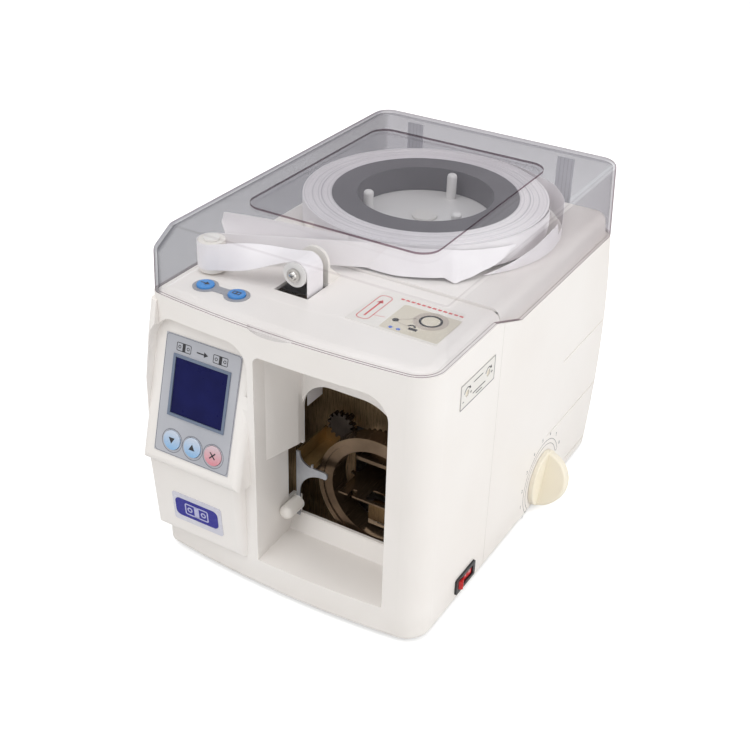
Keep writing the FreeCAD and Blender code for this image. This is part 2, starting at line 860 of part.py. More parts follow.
def board_posts():
    """Short posts inside the front housing that carry its three small circuit boards."""
    inset = s.board_margin / 2
    left, right = inset - s.board_margin, s.display_width - s.board_margin - inset
    posts = [tier_rod(f"display_post_{n}_{m}", u, v, s.shaft_radius, board_top, 0.5 - s.casing_wall)
             for n, u in enumerate((left, right))
             for m, v in enumerate((inset, s.display_length - inset))]
    middle_x = -(s.button_first + s.button_second) / 2
    posts += [rod(f"button_post_{n}", "z", (middle_x, s.button_y + side * s.button_radius),
                  s.shaft_radius, button_board_top, s.front_deck - s.casing_wall + 0.5)
              for n, side in enumerate((-1.0, 1.0))]
    middle_y = (s.adjust_front + s.adjust_back) / 2
    middle_z = (s.adjust_bottom + s.adjust_top) / 2
    posts += [rod(f"trim_post_{n}", "x", (middle_y, middle_z + side * s.button_radius),
                  s.shaft_radius, trim_board_x, half_width - s.casing_wall + 0.5)
              for n, side in enumerate((-1.0, 1.0))]
    return posts


switch_body_y = s.switch_length / 2 - 2.0
switch_body_z = s.switch_height / 2 - 1.5


def trim_places():
    height = (s.adjust_bottom + s.adjust_top) / 2
    return [(s.adjust_front + s.trim_inset, height), (s.adjust_back - s.trim_inset, height)]


# ---------------------------------------------------------------- rear housing
hinge_y = s.casing_back + s.hinge_radius + s.lid_wall / 6
hinge_place = (hinge_y, s.hinge_height)
inlet_low = s.inlet_z - s.inlet_height / 2
inlet_face = back_centre[0] - s.casing_wall + root(
    back_arc * back_arc - (inlet_low - back_centre[1]) * (inlet_low - back_centre[1]))
inlet_body = (s.inlet_width / 2 - s.inlet_flange, s.inlet_height / 2 - s.inlet_flange / 3)


def hinge_sides():
    """The middle of each lid hinge."""
    return [(n, side * s.hinge_spread - s.hinge_aside) for n, side in ((1, -1.0), (2, 1.0))]


def hinge_ears():
    ears = []
    for n, x in hinge_sides():
        for m, side in ((1, -1.0), (2, 1.0)):
            near = x + side * (s.hinge_knuckle / 2 + s.side_gap)
            far = near + side * s.hinge_ear
            low, high = (far, near) if side < 0 else (near, far)
            tag = f"ear_{n}{m}"
            ears.append(box(tag + "_foot", (low, high), (s.casing_back - 1.0, hinge_y + s.hinge_radius),
                            (s.hinge_height - s.hinge_knuckle, s.lid_line_rear)))
            ears.append(box(tag + "_neck", (low, high),
                            (hinge_y - s.hinge_radius, hinge_y + s.hinge_radius),
                            (s.lid_line_rear - 1.0, s.hinge_height)))
            ears.append(rod(tag + "_eye", "x", hinge_place, s.hinge_radius, low, high))
    return ears


def rear_housing():
    shell, _ = housing_shell("rear", s.seam_place, s.casing_back + PAST, s.seam_place, s.rear_deck)
    made, bores = bosses("rear", rear_bosses)
    pad = box("inlet_pad", (-s.inlet_x - s.inlet_width / 2 - 3.0, s.inlet_width / 2 + 3.0 - s.inlet_x),
              (inlet_face - s.casing_wall, inlet_face),
              (s.inlet_z - s.inlet_height / 2 - 3.0, s.inlet_z + s.inlet_height / 2 + 3.0))
    tools = bores + [
        box("inlet_pocket", (-s.inlet_x - s.inlet_width / 2 - s.side_gap,
                             s.inlet_width / 2 + s.side_gap - s.inlet_x), (inlet_face, inlet_face + PAST),
            (inlet_low - s.side_gap, inlet_low + s.inlet_height + s.side_gap)),
        box("inlet_cut", (-s.inlet_x - inlet_body[0], -s.inlet_x + inlet_body[0]),
            (s.casing_back - PAST, inlet_face + PAST),
            (s.inlet_z - inlet_body[1], s.inlet_z + inlet_body[1])),
        rod("reel_bore", "z", (-s.roll_x, s.roll_y), s.spindle_radius * 2 + s.running_gap,
            s.rear_deck - s.casing_wall * 2, s.rear_deck + PAST),
        rod("pot_cut", "x", (s.knob_y, s.knob_z), s.pot_bush_radius + s.key_gap,
            half_width - PAST / 5, half_width + PAST),
        rod("hinge_bore", "x", hinge_place, s.hinge_pin_radius + s.running_gap,
            -half_width, half_width),
    ]
    for side, low, high in (("left", -half_width - PAST, s.groove_depth - half_width),
                            ("right", half_width - s.groove_depth, half_width + PAST)):
        for n, (z, y) in enumerate(((s.groove_top, s.groove_top_start),
                                    (s.groove_middle, s.groove_middle_start),
                                    (s.groove_low, s.groove_low_start))):
            tools.append(box(f"groove_{side}_{n}", (low, high), (y, s.casing_back + PAST),
                             (z - s.groove_width / 2, z + s.groove_width / 2)))
    for n in range(VENT_SLOTS):
        x = (n - (VENT_SLOTS - 1) / 2) * s.vent_pitch
        tools.append(box(f"vent_{n}", (x - s.vent_width / 2, x + s.vent_width / 2),
                         (s.casing_back - s.rear_corner, s.casing_back + PAST),
                         (s.vent_bottom, s.vent_bottom + s.vent_height)))
    solid = fuse("rear_bossed", [shell, pad] + made + hinge_ears())
    finish("rear_housing", cut("rear_housing", solid, tools))


def hinge_pins():
    half = s.hinge_knuckle / 2 + s.side_gap + s.hinge_ear
    pins = [rod(f"hinge_pin_{n}", "x", hinge_place, s.hinge_pin_radius, x - half, x + half)
            for n, x in hinge_sides()]
    finish("hinge_pins", group("hinge_pins", pins))


# ---------------------------------------------------------------- lid
lid_slope = (s.lid_top - s.lid_front_edge) / (s.lid_chamfer_back - s.lid_chamfer_front)


def lid_form(name, inset, bottom_drop):
    """The lid's outer form, or its inside when set in by the wall."""
    drop = inset * root(1.0 + lid_slope * lid_slope)
    edge_z = s.lid_front_edge - drop - lid_slope * (s.lid_chamfer_front + PAST)
    top = s.lid_top - inset
    back = s.casing_back - inset
    seat = s.lid_seat_gap - bottom_drop
    profile = prism(name + "_side", "YZ", [
        (-PAST, s.lid_line_front + seat), (s.ramp_front, s.lid_line_front + seat),
        (s.ramp_back, s.lid_line_rear + seat), (back, s.lid_line_rear + seat), (back, top),
        (s.lid_chamfer_back + drop / 2, top), (-PAST, edge_z + drop * lid_slope / 2)],
        -half_width - PAST, half_width + PAST)
    height = s.lid_top - s.lid_line_rear
    lean = s.lid_draft / height
    low, high = s.lid_line_rear - PAST, s.lid_top + PAST
    low_half = half_width - inset + lean * PAST
    high_half = half_width - inset - lean * (height + PAST)
    ends = prism(name + "_ends", "XZ", [(-low_half, low), (low_half, low), (high_half, high),
                                        (-high_half, high)], -PAST, s.casing_back + PAST)
    bow = rod(name + "_bow", "z", (0.0, front_arc - s.front_bow), front_arc - inset, low, high)
    form = common(name + "_form", [profile, ends, bow])
    doc.recompute()
    result = doc.addObject("Part::Fillet", name + "_corners")
    result.Base = form
    chosen = []
    for place, edge in enumerate(form.Shape.Edges, start=1):
        spot, size = middle(edge), edge.BoundBox
        if size.ZLength < 20 or size.YLength > 8:
            continue
        radius = s.rear_corner if spot.y > 100 else s.front_corner if spot.x > 0 else s.left_corner
        chosen.append((place, number(radius - inset), number(radius - inset)))
    result.Edges = chosen
    rim = number(s.lid_front_edge) - number(s.front_corner) / 2 - number(inset)
    return rounded(name + "_soft", result, s.lid_round - inset * 0.8,
                   lambda edge: edge.BoundBox.ZMin > rim)


def lid():
    wall = s.lid_wall
    outer = lid_form("lid_outer", Size(0.0, "0"), 0.0)
    inner = lid_form("lid_inner", wall, PAST)
    panels = []
    for tag, inset, low, high in (("panel", 0.0, s.lid_top - wall, s.lid_top + s.panel_rise),
                                  ("panel_room", wall, s.lid_top - wall * 2,
                                   s.lid_top + s.panel_rise - wall)):
        side = s.panel_half_width - inset
        front, back = s.panel_front + inset, s.panel_back - inset
        left, right = -side - s.panel_aside, side - s.panel_aside
        sheet_body = prism(tag, "XY", [(left, front), (right, front), (right, back), (left, back)],
                           low, high)
        panels.append(soften(sheet_body, s.panel_corner - inset, along("z")))
    lip_radius = bow_radius(s.lip_half_width * 2, s.lip_reach)
    lip_low = s.lid_line_front + s.lid_seat_gap
    lip = rod("lid_lip", "z", (-s.lip_middle, lip_radius - s.front_bow - s.lip_reach), lip_radius,
              lip_low, lip_low + s.lip_thickness)
    knuckles = []
    for n, x in hinge_sides():
        low, high = x - s.hinge_knuckle / 2, x + s.hinge_knuckle / 2
        knuckles.append(rod(f"knuckle_{n}", "x", hinge_place, s.hinge_radius, low, high))
        knuckles.append(box(f"knuckle_{n}_root", (low, high), (s.casing_back - wall / 2, hinge_y),
                            (s.hinge_height, s.hinge_height + s.hinge_radius)))
    bore = rod("knuckle_bore", "x", hinge_place, s.hinge_pin_radius + s.running_gap,
               -half_width, half_width)
    solid = fuse("lid_solid", [outer, panels[0], lip] + knuckles)
    finish("lid", cut("lid", solid, [inner, panels[1], bore]))
    leaves = [box(f"hinge_leaf_{n}", (x - s.leaf_width / 2, x + s.leaf_width / 2),
                  (s.casing_back - wall - s.leaf_thickness, s.casing_back - wall),
                  (s.hinge_height + s.hinge_radius, s.lid_top - s.rear_corner / 2))
              for n, x in hinge_sides()]
    finish("hinge_leaves", group("hinge_leaves", leaves))


# ---------------------------------------------------------------- base
def foot_places():
    side = half_width - s.foot_inset
    return [(x, y) for x in (-side, side) for y in (s.foot_inset + 5.0, s.casing_back - s.foot_inset)]


def frame_screw_places():
    reach = s.rear_half_width - s.foot_inset
    return [(x, y + s.frame_foot / 2 + s.frame_plate / 2) for x in (-reach, reach)
            for y in (s.frame_front, s.frame_back)]


def screw(name, place, head_low, top):
    """A screw that points up: its head from head_low, and its shank up to top."""
    head = rod(name + "_head", "z", place, s.screw_head, head_low, head_low + s.screw_head_height)
    shank = rod(name + "_shank", "z", place, s.screw_radius, head_low + s.screw_head_height, top)
    return fuse(name, [head, shank])


base_top = s.base_level + s.base_thickness


def base():
    room = casing_block("base_form", level_profile(-PAST, s.casing_back + PAST, -PAST, PAST),
                        s.casing_wall + s.base_gap)
    slab = box("base_slab", (-half_width, half_width), (-PAST, s.casing_back + PAST),
               (s.base_level, base_top))
    plate = common("base_form_cut", [room, slab])
    holes = [rod(f"base_hole_{n}", "z", place, s.screw_radius + s.running_gap, -PAST, PAST)
             for n, place in enumerate(screw_places(front_bosses + rear_bosses) + foot_places()
                                       + frame_screw_places())]
    pillars = [rod(f"board_pillar_{n}", "z", place, s.pillar_radius, s.base_level + 0.5,
                   main_board_z - s.board_thickness) for n, place in enumerate(main_board_pillars())]
    finish("base_plate", cut("base_plate", fuse("base_with_pillars", [plate] + pillars), holes))
    feet = []
    screws = []
    for n, place in enumerate(foot_places()):
        pad = rod(f"foot_pad_{n}", "z", place, s.foot_radius, 0.0, s.base_level)
        sink = rod(f"foot_sink_{n}", "z", place, s.screw_head + s.side_gap, -1.0,
                   s.screw_head_height + 1.0)
        hole = rod(f"foot_hole_{n}", "z", place, s.screw_radius + s.running_gap, -1.0,
                   s.base_level + 1.0)
        feet.append(cut(f"foot_{n}", pad, [sink, hole]))
        screws.append(screw(f"foot_screw_{n}", place, 1.0, base_top + s.screw_head_height))
    finish("rubber_feet", group("rubber_feet", feet))
    head_low = s.base_level - s.screw_head_height
    screws += [screw(f"casing_screw_{n}", place, head_low, base_top + s.boss_height / 2)
               for n, place in enumerate(screw_places(front_bosses + rear_bosses))]
    screws += [screw(f"frame_screw_{n}", place, head_low, base_top + s.frame_plate + s.screw_head_height)
               for n, place in enumerate(frame_screw_places())]
    finish("base_screws", group("base_screws", screws))


# ---------------------------------------------------------------- display and badge
lcd_hole = ((s.lcd_left + s.lcd_lap, s.lcd_left + s.lcd_width - s.lcd_lap),
            (s.lcd_top + s.lcd_lap, s.lcd_top + s.lcd_length - s.lcd_lap))
board_top = s.board_thickness - s.board_depth
KEYS = ("key_down", "key_up", "key_clear")


def key_spots():
    return [(s.first_key + n * s.key_pitch, s.key_row) for n in range(len(KEYS))]


def display():
    wall = s.casing_wall
    film = tier_box("overlay_film", (0.0, s.display_width), (0.0, s.display_length),
                    (0.0, s.overlay_thickness))
    window = tier_box("overlay_window", lcd_hole[0], lcd_hole[1], (-1.0, s.overlay_thickness + 1.0))
    holes = [tier_rod(f"overlay_hole_{n}", u, v, s.key_radius + s.key_gap, -1.0,
                      s.overlay_thickness + 1.0) for n, (u, v) in enumerate(key_spots())]
    finish("display_overlay", cut("display_overlay", film, [window] + holes))

    flange = tier_box("bezel_flange", (s.lcd_left, s.lcd_left + s.lcd_width),
                      (s.lcd_top, s.lcd_top + s.lcd_length),
                      (s.overlay_thickness, s.overlay_thickness + s.lcd_lap))
    collar = tier_box("bezel_collar", [side + sign * s.key_gap for side, sign in zip(lcd_hole[0], (1, -1))],
                      [side + sign * s.key_gap for side, sign in zip(lcd_hole[1], (1, -1))],
                      (-wall, s.overlay_thickness))
    view = [(low + s.lcd_frame, high - s.lcd_frame) for low, high in (
        (s.lcd_left, s.lcd_left + s.lcd_width), (s.lcd_top, s.lcd_top + s.lcd_length))]
    opening = tier_box("bezel_opening", view[0], view[1], (-wall - 1.0, PAST))
    finish("lcd_bezel", cut("lcd_bezel", fuse("bezel_solid", [flange, collar]), [opening]))
    glass = [(low + s.key_gap, high - s.key_gap) for low, high in view]
    finish("lcd_display", tier_box("lcd_display", glass[0], glass[1], (board_top, s.overlay_thickness)))

    for label, (u, v) in zip(KEYS, key_spots()):
        cap = tier_rod(label + "_cap", u, v, s.key_radius, -wall - s.side_gap,
                       s.overlay_thickness + s.key_rise)
        rim = number(s.key_rise) / 3
        cap = rounded(label + "_cap_round", cap, rim, lambda edge: middle(edge).y < min(
            middle(one).y for one in cap.Shape.Edges) + 0.1)
        stop = tier_rod(label + "_stop", u, v, s.key_radius + s.stop_flange, -wall - s.side_gap - 1.0,
                        -wall - s.side_gap)
        finish(label, fuse(label, [cap, stop]))


badge_slope = (s.badge_tier_front - s.badge_tier_foot) / (
    tier_point(0.0, front_reach, 0.0)[2] + s.casing_wall / 2 - s.badge_tier_bottom)


def badge_face(z):
    """Where the sloping front of the badge tier is at a height."""
    return -s.badge_tier_foot - badge_slope * (z - s.badge_tier_bottom)


def badge():
    low, high = s.badge_bottom, s.badge_bottom + s.badge_height
    plate = prism("badge_plate", "YZ", [
        (badge_face(low) - s.badge_thickness, low), (badge_face(low), low), (badge_face(high), high),
        (badge_face(high) - s.badge_thickness, high)], -s.badge_left, s.badge_width - s.badge_left)
    finish("badge_plate", soften(plate, s.badge_corner, lambda edge: edge.Length < 1))


# ---------------------------------------------------------------- deck controls and labels
def buttons():
    deck_low = s.front_deck - s.casing_wall
    for label, x in (("deck_button_left", -s.button_first), ("deck_button_right", -s.button_second)):
        cap = rod(label + "_cap", "z", (x, s.button_y), s.button_radius, deck_low - s.side_gap,
                  s.front_deck + s.button_rise)
        top = number(s.front_deck + s.button_rise)
        cap = rounded(label + "_cap_round", cap, s.button_rise / 3,
                      lambda edge: edge.BoundBox.ZMin > top - 0.1)
        stop = rod(label + "_stop", "z", (x, s.button_y), s.button_radius + s.stop_flange,
                   deck_low - s.side_gap - 1.0, deck_low - s.side_gap)
        stem = rod(label + "_stem", "z", (x, s.button_y), s.shaft_radius,
                   button_board_top + s.switch_rise + s.button_travel + s.side_gap, deck_low - s.side_gap)
        finish(label, fuse(label, [cap, stop, stem]))


button_board_top = s.front_deck - s.casing_wall - s.board_depth
trim_board_x = half_width - s.casing_wall - s.board_depth


def labels():
    deck = s.front_deck
    label = prism("deck_label", "XY", [
        (s.deck_label_left, s.deck_label_front), (s.deck_label_left + s.deck_label_width,
                                                  s.deck_label_front),
        (s.deck_label_left + s.deck_label_width - s.deck_label_taper,
         s.deck_label_front + s.deck_label_depth),
        (s.deck_label_left + s.deck_label_taper, s.deck_label_front + s.deck_label_depth)],
        deck, deck + s.label_thickness)
    soften(label, s.label_corner, along("z"))
    pad_ends = [rod(f"pad_end_{n}", "z", (-x, s.button_y), s.pad_margin, deck, deck + s.pad_thickness)
                for n, x in enumerate((s.button_first, s.button_second))]
    waist = box("pad_waist", (-s.button_first, -s.button_second),
                (s.button_y - s.pad_waist / 2, s.button_y + s.pad_waist / 2),
                (deck, deck + s.pad_thickness))
    pad = rounded("pad_rounded", fuse("pad_block", pad_ends + [waist]), s.pad_blend,
                  lambda edge: along("z")(edge)
                  and abs(middle(edge).x + number(s.button_first + s.button_second) / 2)
                  < number(s.button_first - s.button_second) / 2 - 1)
    holes = [rod(f"pad_hole_{n}", "z", (-x, s.button_y), s.button_radius + s.key_gap, deck - 1.0,
                 deck + s.pad_thickness + 1.0)
             for n, x in enumerate((s.button_first, s.button_second))]
    side = box("side_label_block", (half_width, half_width + s.label_thickness),
               (s.adjust_front, s.adjust_back), (s.adjust_bottom, s.adjust_top))
    side = rounded("side_label_rounded", side, s.label_corner, along("x"))
    trims = [rod(f"side_label_hole_{n}", "x", place, s.trim_hole, half_width - 1.0, half_width + PAST)
             for n, place in enumerate(trim_places())]
    finish("labels", group("labels", [label, cut("button_pad", pad, holes),
                                      cut("side_label", side, trims)]))


def circuit_boards():
    thin = s.board_thickness
    behind_display = tier_box("display_board", (-s.board_margin, s.display_width - s.board_margin),
                              (0.0, s.display_length), (-s.board_depth, board_top))
    behind_display = fuse("display_board_switched", [behind_display] + [
        tier_rod(f"key_switch_{n}", u, v, s.shaft_radius, board_top,
                 -s.casing_wall - s.side_gap * 2 - 1.0 - s.key_travel)
        for n, (u, v) in enumerate(key_spots())])
    low = button_board_top - thin
    under_deck = box("button_board", (-s.button_first - s.pad_margin, s.pad_margin - s.button_second),
                     (s.button_y - s.pad_margin, s.button_y + s.pad_margin), (low, button_board_top))
    under_deck = fuse("button_board_switched", [under_deck] + [
        rod(f"button_switch_{n}", "z", (-x, s.button_y), s.shaft_radius + 1.0, button_board_top,
            button_board_top + s.switch_rise)
        for n, x in enumerate((s.button_first, s.button_second))])
    trimmer = box("trim_board", (trim_board_x - thin, trim_board_x),
                  (s.adjust_front, s.adjust_back), (s.adjust_bottom, s.adjust_top))
    main = box("main_board", (s.main_board_left, s.main_board_left + s.main_board_width),
               (s.main_board_front, s.main_board_front + s.main_board_length),
               (main_board_z - thin, main_board_z))
    chips = []
    for n, (across, back, length, wide, tall) in enumerate(BOARD_PARTS):
        x = s.main_board_left + s.main_board_width * across
        y = s.main_board_front + s.main_board_length * back
        chips.append(box(f"chip_{n}", (x, x + length), (y, y + wide), (main_board_z, main_board_z + tall)))
    main = fuse("main_board_filled", [main] + chips)
    finish("circuit_boards", group("circuit_boards", [behind_display, under_deck, trimmer, main]))


main_board_z = base_top + s.main_board_rise + s.board_thickness


def main_board_pillars():
    inset = s.board_margin
    left, front = s.main_board_left, s.main_board_front
    return [(x, y) for x in (left + inset, left + s.main_board_width - inset)
            for y in (front + inset, front + s.main_board_length - inset)]


# ---------------------------------------------------------------- right side fittings
pot_back = half_width - s.casing_wall - s.pot_depth


def trimmers():
    pots = []
    for n, (place, label) in enumerate(zip(trim_places(), ("trim_screw_front", "trim_screw_back"))):
        front = half_width - s.casing_wall - s.side_gap
        body = rod(f"trim_pot_{n}", "x", place, s.trim_hole + 1.5, trim_board_x, front)
        bore = rod(f"trim_pot_{n}_bore", "x", place, s.trim_hole - s.key_gap, trim_board_x + 1.5,
                   front + 1.0)
        pots.append(cut(f"trim_pot_{n}_bored", body, [bore]))
        turned = rod(label + "_body", "x", place, s.trim_hole - s.key_gap * 2, trim_board_x + 1.5,
                     half_width - s.label_thickness)
        slot = box(label + "_slot", (half_width - 1.5, half_width), (place[0] - PAST, place[0] + PAST),
                   (place[1] - s.label_thickness, place[1] + s.label_thickness))
        finish(label, cut(label, turned, [slot]))
    finish("trim_pots", group("trim_pots", pots))


rocker_pivot = (half_width - s.rocker_depth, s.switch_y)


def rocker_point(out, across):
    """A corner of the rocker at rest, from its pivot: out of the casing and to the back."""
    lean, flat = sine(s.rocker_tilt), cosine(s.rocker_tilt)
    return (rocker_pivot[0] + out * flat - across * lean, rocker_pivot[1] + out * lean + across * flat)


def power_switch():
    mid_y, mid_z = s.switch_y, s.switch_z
    body_back = half_width - s.switch_depth
    flange = box("switch_flange", (half_width, half_width + s.switch_flange),
                 (mid_y - s.switch_length / 2, mid_y + s.switch_length / 2),
                 (mid_z - s.switch_height / 2, mid_z + s.switch_height / 2))
    flange = rounded("switch_flange_round", flange, s.label_corner, along("x"))
    body = box("switch_body", (body_back, half_width), (mid_y - switch_body_y, mid_y + switch_body_y),
               (mid_z - switch_body_z, mid_z + switch_body_z))
    wall = s.switch_wall
    room_y, room_z = switch_body_y - wall, switch_body_z - wall
    room = box("switch_room", (body_back + wall, half_width + PAST), (mid_y - room_y, mid_y + room_y),
               (mid_z - room_z, mid_z + room_z))
    bore = rod("switch_bore", "z", rocker_pivot, s.trunnion_radius + s.running_gap,
               mid_z - switch_body_z, mid_z + switch_body_z)
    finish("switch_bezel", cut("switch_bezel", fuse("switch_solid", [flange, body]), [room, bore]))
    half_z = room_z - s.side_gap
    end = room_y - s.side_gap
    reach = s.rocker_reach
    outline = prism("rocker_outline", "XY", [
        rocker_point(reach / 2, 0.0), rocker_point(reach, end), rocker_point(-reach, end),
        rocker_point(-reach * 1.4, 0.0), rocker_point(-reach, -end), rocker_point(reach, -end)],
        mid_z - half_z, mid_z + half_z)
    drum = rod("rocker_drum", "z", rocker_pivot, room_y - s.side_gap, mid_z - half_z, mid_z + half_z)
    pin = rod("rocker_trunnion", "z", rocker_pivot, s.trunnion_radius, mid_z - switch_body_z,
              mid_z + switch_body_z)
    finish("power_rocker", fuse("power_rocker", [common("rocker_body", [outline, drum]), pin]))


def dial():
    axis = (s.knob_y, s.knob_z)
    front = half_width + s.touch_gap
    shaft_end = half_width + s.knob_reach * 0.6
    pot = rod("pot_body", "x", axis, s.pot_radius, pot_back, half_width - s.casing_wall)
    bush = rod("pot_bush", "x", axis, s.pot_bush_radius, half_width - s.casing_wall, half_width)
    bore = rod("pot_bore", "x", axis, s.pot_shaft_radius + s.running_gap, pot_back + 3.0,
               half_width + 1.0)
    finish("dial_pot", cut("dial_pot", fuse("pot_solid", [pot, bush]), [bore]))
    finish("dial_shaft", rod("dial_shaft", "x", axis, s.pot_shaft_radius, pot_back + 3.0, shaft_end))
    disc = rod("knob_disc", "x", axis, s.knob_radius, front, front + s.knob_base)
    disc = rounded("knob_disc_round", disc, s.knob_base / 4,
                   lambda edge: edge.BoundBox.XMin > number(front + s.knob_base) - 0.1)
    half = s.knob_grip / 2
    grip = doc.addObject("Part::Cylinder", "knob_grip")
    bind(grip, "Radius", s.knob_reach - s.touch_gap)
    bind(grip, "Height", s.knob_grip)
    put(grip, (front, s.knob_y + half * sine(s.knob_lean), s.knob_z - half * cosine(s.knob_lean)),
        Rotation(Vector(1, 0, 0), number(s.knob_lean)))
    bind(grip, "Placement.Rotation.Angle", s.knob_lean)
    grip = rounded("knob_grip_round", grip, half / 3, lambda edge: edge.BoundBox.XLength > 20)
    behind = box("knob_behind", (-PAST, front), (s.knob_y - PAST, s.knob_y + PAST),
                 (s.knob_z - PAST, s.knob_z + PAST))
    bore = rod("knob_bore", "x", axis, s.pot_shaft_radius + s.running_gap, half_width - 1.0,
               shaft_end + s.touch_gap)
    finish("dial_knob", cut("dial_knob", fuse("knob_solid", [disc, grip]), [behind, bore]))


# ---------------------------------------------------------------- roll of tape and its path
reel_top = s.roll_bottom - s.touch_gap
guide_foot = s.front_deck + s.pad_thickness
tape_low = s.turn_z - s.tape_width / 2
tape_high = s.turn_z + s.tape_width / 2


def ring_of(name, centre, outer, inner, low, high, axis="z"):
    """A tube: an outer cylinder with a bore right through it."""
    return cut(name, rod(name + "_outer", axis, centre, outer, low, high),
               [rod(name + "_inner", axis, centre, inner, low - 1.0, high + 1.0)])


def reel():
    centre = (-s.roll_x, s.roll_y)
    finish("paper_roll", ring_of("paper_roll", centre, s.roll_radius, s.core_outer, s.roll_bottom,
                                 s.roll_bottom + s.tape_width))
    finish("roll_core", ring_of("roll_core", centre, s.core_outer, s.core_inner, s.roll_bottom,
                                s.roll_bottom + s.tape_width))
    disc = ring_of("seat_disc", centre, s.reel_seat_radius, s.spindle_radius * 2 + s.running_gap,
                   s.rear_deck + s.touch_gap, reel_top)
    spots = [reel_post_spot(90.0 + 120.0 * n) for n in range(3)]
    top = number(s.reel_post_top)
    posts = [rounded(f"reel_post_{n}_round",
                     rod(f"reel_post_{n}", "z", spot, s.reel_post_radius, reel_top, s.reel_post_top),
                     s.reel_post_radius * 0.7, lambda edge: edge.BoundBox.ZMin > top - 0.1)
             for n, spot in enumerate(spots)]
    finish("reel_seat", disc)
    finish("reel_posts", group("reel_posts", posts))


def reel_post_spot(degrees):
    return (s.reel_post_ring * cosine(degrees) - s.roll_x, s.roll_y + s.reel_post_ring * sine(degrees))


def tape_rollers():
    post = (-s.post_roller_x, s.post_roller_y)
    finish("guide_roller", ring_of("guide_roller", post, s.post_roller_radius,
                                   s.spindle_radius + s.running_gap, guide_foot + s.side_gap + 1.0,
                                   tape_high))
    turn = (-s.turn_x, s.turn_z)
    finish("turn_roller", ring_of("turn_roller", turn, s.turn_radius, s.spindle_radius + s.running_gap,
                                  s.turn_front, s.turn_back, "y"))
    spindle = fuse("guide_spindle", [
        rod("guide_spindle_bar", "z", post, s.spindle_radius, s.front_deck, tape_high + s.side_gap),
        rod("guide_spindle_foot", "z", post, s.spindle_radius * 2, s.front_deck, guide_foot + 1.0),
        rod("guide_spindle_cap", "z", post, s.spindle_radius * 2, tape_high + s.side_gap,
            tape_high + s.side_gap + 1.5)])
    plate_back = s.slot_back + s.side_gap + s.bracket_sheet
    axle = fuse("turn_axle", [
        rod("turn_axle_bar", "y", turn, s.spindle_radius, s.turn_front - s.side_gap, plate_back),
        rod("turn_axle_cap", "y", turn, s.spindle_radius * 1.7, s.turn_front - s.side_gap - 2.0,
            s.turn_front - s.side_gap)])
    centre = (-s.roll_x, s.roll_y)
    hub = fuse("reel_spindle", [
        rod("reel_spindle_bar", "z", centre, s.spindle_radius * 2, s.rear_deck - s.casing_wall - 4.0,
            reel_top + s.side_gap),
        rod("reel_spindle_cap", "z", centre, s.spindle_radius * 2 + 4.0, reel_top + s.side_gap,
            reel_top + s.side_gap + 1.5)])
    finish("roller_axles", group("roller_axles", [spindle, axle, hub]))
    pin = rod("tape_guide_post", "z", (-s.stop_post_x, s.stop_post_y), s.reel_post_radius, s.rear_deck,
              tape_high)
    top = number(tape_high)
    finish("tape_guide_post", rounded("tape_guide_post_round", pin, s.reel_post_radius * 0.6,
                                      lambda edge: edge.BoundBox.ZMin > top - 0.1))


def turn_bracket():
    near = s.slot_back + s.side_gap
    half = s.turn_radius + s.bracket_sheet
    plate = box("bracket_plate", (-s.turn_x - half, half - s.turn_x), (near, near + s.bracket_sheet),
                (s.front_deck, s.turn_z))
    crown = rod("bracket_crown", "y", (-s.turn_x, s.turn_z), half, near, near + s.bracket_sheet)
    foot = box("bracket_foot", (-s.turn_x - half, half - s.turn_x), (near, near + s.bracket_foot),
               (s.front_deck, s.front_deck + s.bracket_sheet))
    ribs = [prism(f"bracket_rib_{n}", "YZ", [
        (near, s.front_deck), (near + s.bracket_foot, s.front_deck), (near, s.turn_z)],
        x - s.turn_x, x - s.turn_x + s.bracket_sheet)
        for n, x in enumerate((-half, half - s.bracket_sheet))]
    hole = rod("bracket_hole", "y", (-s.turn_x, s.turn_z), s.spindle_radius + s.running_gap,
               near - 1.0, near + s.bracket_sheet + 1.0)
    finish("turn_bracket", cut("turn_bracket", fuse("bracket_solid", [plate, crown, foot] + ribs), [hole]))


drop_x = s.turn_radius + s.touch_gap + s.tape_thickness / 2 - s.turn_x
feed_x = drop_x + s.tape_thickness / 2 + s.touch_gap + s.feed_radius
pinch_x = drop_x - s.tape_thickness / 2 - s.touch_gap - s.pinch_radius
tape_front = (s.turn_front + s.turn_back - s.tape_width) / 2


def sheet_section(centre, across, through, width):
    """A thin rectangle of tape: its width across, its thickness through."""
    half, thick = across * (width / 2), through * (number(s.tape_thickness) / 2)
    spots = [centre - half - thick, centre + half - thick, centre + half + thick, centre - half + thick]
    return Part.makePolygon(spots + spots[:1])


